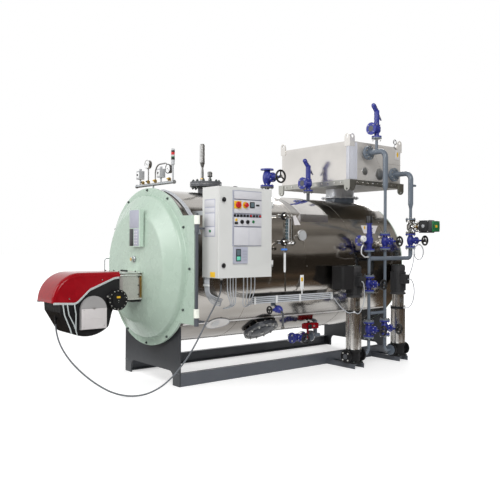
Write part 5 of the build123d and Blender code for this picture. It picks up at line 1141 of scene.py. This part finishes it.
@makes("tray_clips")
def tray_clips(p):
    """Clips round the tray's cables, the rail that holds the cabinet's leads and a bare tag."""
    low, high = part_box("tray_cables")
    face, back = low[1], high[1]
    for x in (0.707, 0.986, 1.305, 1.775):
        p.card((x - 0.011, x + 0.011), (0.742, 0.818), face + 0.001, 0.007, "white", 0.002)
        for z in (0.748, 0.812):
            p.screw(at(x, face - 0.006, z), NEAR, 0.003)
    for front, z0, z1 in ((face - 0.001, 0.742, 0.747), (face - 0.001, 0.813, 0.818),
            (back, 0.742, 0.818)):
        p.block(at(1.764, front, z0), at(1.786, back + 0.004, z1), "white")
    for x0, x1, z0, z1, rear, depth, look, edge in (
            (1.305, 1.355, 0.865, 1.01, 0.001, 0.002, "white", 0.0008),
            (1.322, 1.338, 0.815, 0.866, 0.001, 0.003, "white", 0.0008),
            (1.315, 1.345, 0.945, 0.985, 0.0028, 0.001, "yellow", 0.0004)):
        p.card((x0, x1), (z0, z1), face - rear, depth, look, edge)
    # rail under the cabinet, with a saddle over each lead
    p.block(at(0.058, -0.892, 0.947), at(0.063, -0.8, 0.965), "white")
    for row in range(5):
        y = -0.814 - 0.015 * row
        p.tube([at(0.07 - 0.007 * cos(turn), y - 0.007 * sin(turn), 0.956)
            for turn in (pi / 2, pi, 1.5 * pi)], 0.002, "white", 0.004, 6)
    p.block(at(0.06, -0.812, 0.947), at(0.064, -0.7995, 1.0255), "galvanised")


@makes("level_gauge_details")
def level_gauge_details(p):
    """Glass, cover bolts, round black knobs, tube and the dial beside the level gauge."""
    x, y = 1.003, LEVEL_Y
    front = y - 0.024
    for z in (1.344, 1.596):
        for dx, radius, length in ((-0.075, 0.021, 0.028), (0.03, 0.021, 0.024), (0.072, 0.022, 0.026)):
            p.rod(at(x + dx, y, z), BACK, radius, length, "chrome", 6)
        p.turned(at(x - 0.062, y - 0.0375, z), NEAR, ((0.034, 0), (0.0395, 0.003), (0.0395, 0.015),
            (0.03, 0.019), (0.012, 0.014)), "black")
        p.screw(at(x - 0.062, y - 0.051, z), NEAR, 0.008)
        for dx, out, depth, end in ((-0.062, 0.0565, 0.01, 0.016), (-0.02, 0.018, 0.012, 0.015)):
            p.turned(at(x + dx, y - out, z), NEAR, ((0.024, 0), (0.024, depth), (end, depth + 0.006)),
                "chrome", 24)
    for dx in (-0.019, 0.003):
        p.card((x + dx, x + dx + 0.016), (1.366, 1.574), front + 0.003, 0.004, "glass", 0.002)
    p.card((x + 0.0205, x + 0.0255), (1.356, 1.584), front + 0.036, 0.039, "white")
    for i in range(7):
        for dx in (-0.0225, 0):
            p.bolt(at(x + dx, front, 1.372 + i * 0.033), NEAR, 0.0028)
    p.tube((at(x - 0.008, y + 0.006, 1.273), at(x - 0.008, y - 0.03, 1.273),
        at(x - 0.08, y - 0.034, 1.273)), 0.01, "sky", 0.01, 8)
    # bare tag tied to the upper cock
    tag = ((1.077, 1.602), (1.112, 1.609), (1.18, 1.516), (1.099, 1.512))
    p.plate([at(along, y - 0.026, up) for along, up in tag], NEAR * 0.0015, "tag")
    p.tube((at(1.091, -0.868, 1.594), at(1.094, -0.877, 1.606), at(1.094, -0.872, 1.602)), 0.002,
        "bolt", 0.002, 6)
    dial = at(1.293, -0.79, 1.414)
    p.turned(dial + FAR * 0.002, NEAR, ((0.057, 0), (0.057, 0.003), (0.052, 0.004)), "sensor", 48)
    p.torus(dial + NEAR * 0.002, NEAR, 0.054, 0.0035, "chrome", 48, 8)


@makes("lead_plugs")
def lead_plugs(p):
    """Plugs where the pumps' leads end, and the ties of the coil."""
    near, far = PUMPS
    for x, out in ((near, Vector((-0.7071, -0.7071, 0))), (far, NEAR)):
        p.turned(at(x, PUMP_Y, 0.605) + out * 0.084, out, ((0.011, 0), (0.011, 0.012), (0.008, 0.014)),
            "white", 20)
    for x, y, out in ((near - 0.033, -0.962, NEAR), (far, -0.962, NEAR), (far + 0.048, -0.918, BACK)):
        p.turned(at(x, y, 0.9325), out, ((0.0095, 0), (0.0095, 0.012), (0.007, 0.014)), "black", 20)
    coil = at(PIPE_X["right"] + 0.075, -0.9015, 1.238)
    for degrees in (80, 200, 320):
        turn = radians(degrees)
        ray = Vector((cos(turn), 0, sin(turn)))
        along = Vector((-ray.z, 0, ray.x))
        p.rod(coil + ray * 0.088 - along * 0.004, along, 0.0062, 0.008, "black", 16)


@makes("blowdown_bolts")
def blowdown_bolts(p):
    y, z = -0.4, 0.31
    dress_valve(p, at(1.59, y, z), BACK, 0.15)
    low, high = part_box("blowdown_actuator")
    dial = Vector((low[0] * 0.77 + high[0] * 0.23, low[1], 0.432))
    p.turned(dial + FAR * 0.004, NEAR, ((0.026, 0), (0.026, 0.008), (0.022, 0.011)), "black", 32)
    p.rod(dial + Vector((0.075, 0.016, 0)), NEAR, 0.012, 0.002, "bolt", 6)
    p.block((low[0] + 0.02, low[1] + 0.02, 0.4615), (high[0] - 0.02, high[1] - 0.014, 0.4665), "red",
        0.002)
    p.turned(((low[0] + high[0]) / 2, -0.44, 0.462), UP, ((0.014, 0), (0.014, 0.016), (0.008, 0.02)),
        "black", 20)
    for x in (1.645, 1.8):
        p.turned(at(x, y, z), BACK, ((0.058, -0.007), (0.06, 0), (0.058, 0.007)), "chrome")


@makes("mud_cover_bolts")
def mud_cover_bolts(p):
    offset = 0.4
    away = Vector((0, -offset, -sqrt(SHELL_R ** 2 - offset ** 2))).normalized()
    face = at(1.06, 0, AXIS_Z) + away * (SHELL_R + 0.048)
    p.ring(face, away, 0.16, 12, 0.011)
    p.ring(face - away * 0.034, -away, 0.16, 12, 0.011, phase=-0.5)
    p.turned(face, away, ((0.11, 0), (0.11, 0.006), (0.09, 0.014), (0.03, 0.02)), "cover", 48)
    p.rod(face + away * 0.018, away, 0.018, 0.012, "bolt", 6)


@makes("rear_cover_bolts")
def rear_cover(p):
    """The rear cover's bolts, a bead round it and its handle."""
    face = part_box("rear_end_plate")[1][0]
    p.ring((face - 0.002, 0, AXIS_Z), BACK, 0.235, 12, 0.011)
    p.torus((face - 0.0005, 0, AXIS_Z), BACK, 0.262, 0.004, "mint", 72, 8)
    out = face + 0.05
    for line in (((face, -0.075), (out, -0.075)), ((face, 0.075), (out, 0.075)),
            ((out, -0.08), (out, 0), (out, 0.08))):
        p.tube([(x, y, AXIS_Z) for x, y in line], 0.007, "galvanised", 0.01, 8)


@makes("skid_welds")
def skid_welds(p):
    for name in ("front_saddle_plate", "rear_saddle_plate"):
        low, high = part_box(name)
        for side in (-1, 1):
            for face in (low[0], high[0]):
                p.sweep([(face, side * (0.515 - 0.055 * k / 4), 0.1215) for k in range(5)], 0.004,
                    "slate", 6)


# Studio: a white floor and surroundings, a soft key light over the cabinet's side, a fill and a
# light from behind. Dark screens seen only by polished metal stand for the unlit room.
def seen_directly(tree):
    """1 for rays from the camera, a reflection or through glass, else 0."""
    rays = add_node(tree, "LightPath", {}).outputs
    seen = rays["Is Camera Ray"]
    for other in ("Is Glossy Ray", "Is Transmission Ray"):
        seen = add_node(tree, "Math", {0: seen, 1: rays[other]}, operation="MAXIMUM").outputs[0]
    return seen


def stage_mesh(name, points, corners, color):
    data = bpy.data.meshes.new(name)
    data.from_pydata(points, [], corners)
    made = add_object(name, data)
    look = bpy.data.materials.new(name)
    look.use_nodes = True
    inputs = look.node_tree.nodes["Principled BSDF"].inputs
    for socket, value in (("Base Color", (*color, 1)), ("Roughness", 0.9), ("Specular IOR Level", 0.1),
            ("Emission Color", (1, 1, 1, 1)), ("Emission Strength", 0)):
        inputs[socket].default_value = value
    data.materials.append(look)
    return made, look.node_tree, inputs


def add_studio():
    world = bpy.data.worlds.new("studio")
    bpy.context.scene.world = world
    world.use_nodes = True
    tree = world.node_tree
    background = tree.nodes["Background"].inputs
    background["Color"].default_value = (1, 1, 1, 1)
    tree.links.new(ramped(tree, seen_directly(tree), 0, 1, 0.5, 1), background["Strength"])

    half = 60
    tree, inputs = stage_mesh("floor", [(-half, -half, 0), (half, -half, 0), (half, half, 0),
        (-half, half, 0)], [(0, 1, 2, 3)], (0.7, 0.7, 0.7))[1:]
    # the floor's glow rises away from the object until it meets the white background
    place = add_node(tree, "TexCoord", {}).outputs["Object"]
    away = add_node(tree, "VectorMath", {0: place}, operation="LENGTH").outputs["Value"]
    glow = add_node(tree, "Math", {0: ramped(tree, away, 3, 12, 0.5, 0.9), 1: seen_directly(tree)},
        operation="MULTIPLY")
    tree.links.new(glow.outputs[0], inputs["Emission Strength"])


def uneven(tree, inputs, dark, light, scale):
    """Broad streaks along X in a screen's colour, like a room's beams and machines."""
    streaks = ramped(tree, noise(tree, 1, 3, scale), 0.36, 0.64)
    tree.links.new(mixed(tree, streaks, dark, light), inputs["Base Color"])


def add_screens():
    """A dark floor round the object, a dark and a grey wall and a ceiling, for reflections only."""
    outer, ground_z, middle, top = 9, 0.02, 3.3, 6.6
    ground = stage_mesh("dark_floor", [(x * a, y * b, ground_z) for a, b in ((1.9, 1.8), (outer, outer))
        for x, y in ((-1, -1), (1, -1), (1, 1), (-1, 1))],
        [(i, (i + 1) % 4, 4 + (i + 1) % 4, 4 + i) for i in range(4)], (0.05, 0.042, 0.036))
    uneven(*ground[1:], (0.03, 0.026, 0.022), (0.16, 0.11, 0.07), (0.15, 0.9, 1))
    screens = [ground]
    sides = 24
    for name, low, high, color in (("dark_wall", ground_z, middle, (0.06, 0.05, 0.04)),
            ("grey_wall", middle, top, (0.5, 0.48, 0.45))):
        turns = [pi + pi * i / sides for i in range(sides + 1)]
        screens.append(stage_mesh(name,
            [(outer * cos(a), outer * sin(a), height) for height in (low, high) for a in turns],
            [(i, i + 1, sides + 2 + i, sides + 1 + i) for i in range(sides)], color))
    ceiling = stage_mesh("dark_ceiling", [(x * outer, y, top) for x, y in ((-1, -outer), (1, -outer),
        (1, 0.3), (-1, 0.3))], [(0, 1, 2, 3)], (0.2, 0.18, 0.16))
    uneven(*ceiling[1:], (0.09, 0.082, 0.072), (0.55, 0.51, 0.46), (0.12, 0.7, 1))
    for screen, *_ in (*screens, ceiling):
        screen.visible_camera = False
        screen.visible_diffuse = False
        screen.visible_shadow = False
        screen.visible_transmission = False


def add_lights():
    for name, place, power in (("key", (-4.5, -6.5, 6), 400), ("fill", (-7.5, 1.5, 4), 200),
            ("rear", (6, 4, 5), 260)):
        lamp = bpy.data.lights.new(name, "AREA")
        lamp.size = 4
        lamp.energy = power
        holder = add_object(name, lamp)
        holder.location = place
        aim = Vector((0, 0, 1.2)) - Vector(place)
        holder.rotation_euler = aim.to_track_quat("-Z", "Y").to_euler()


add_studio()
add_screens()
add_lights()
bpy.context.scene.view_settings.view_transform = "Standard"
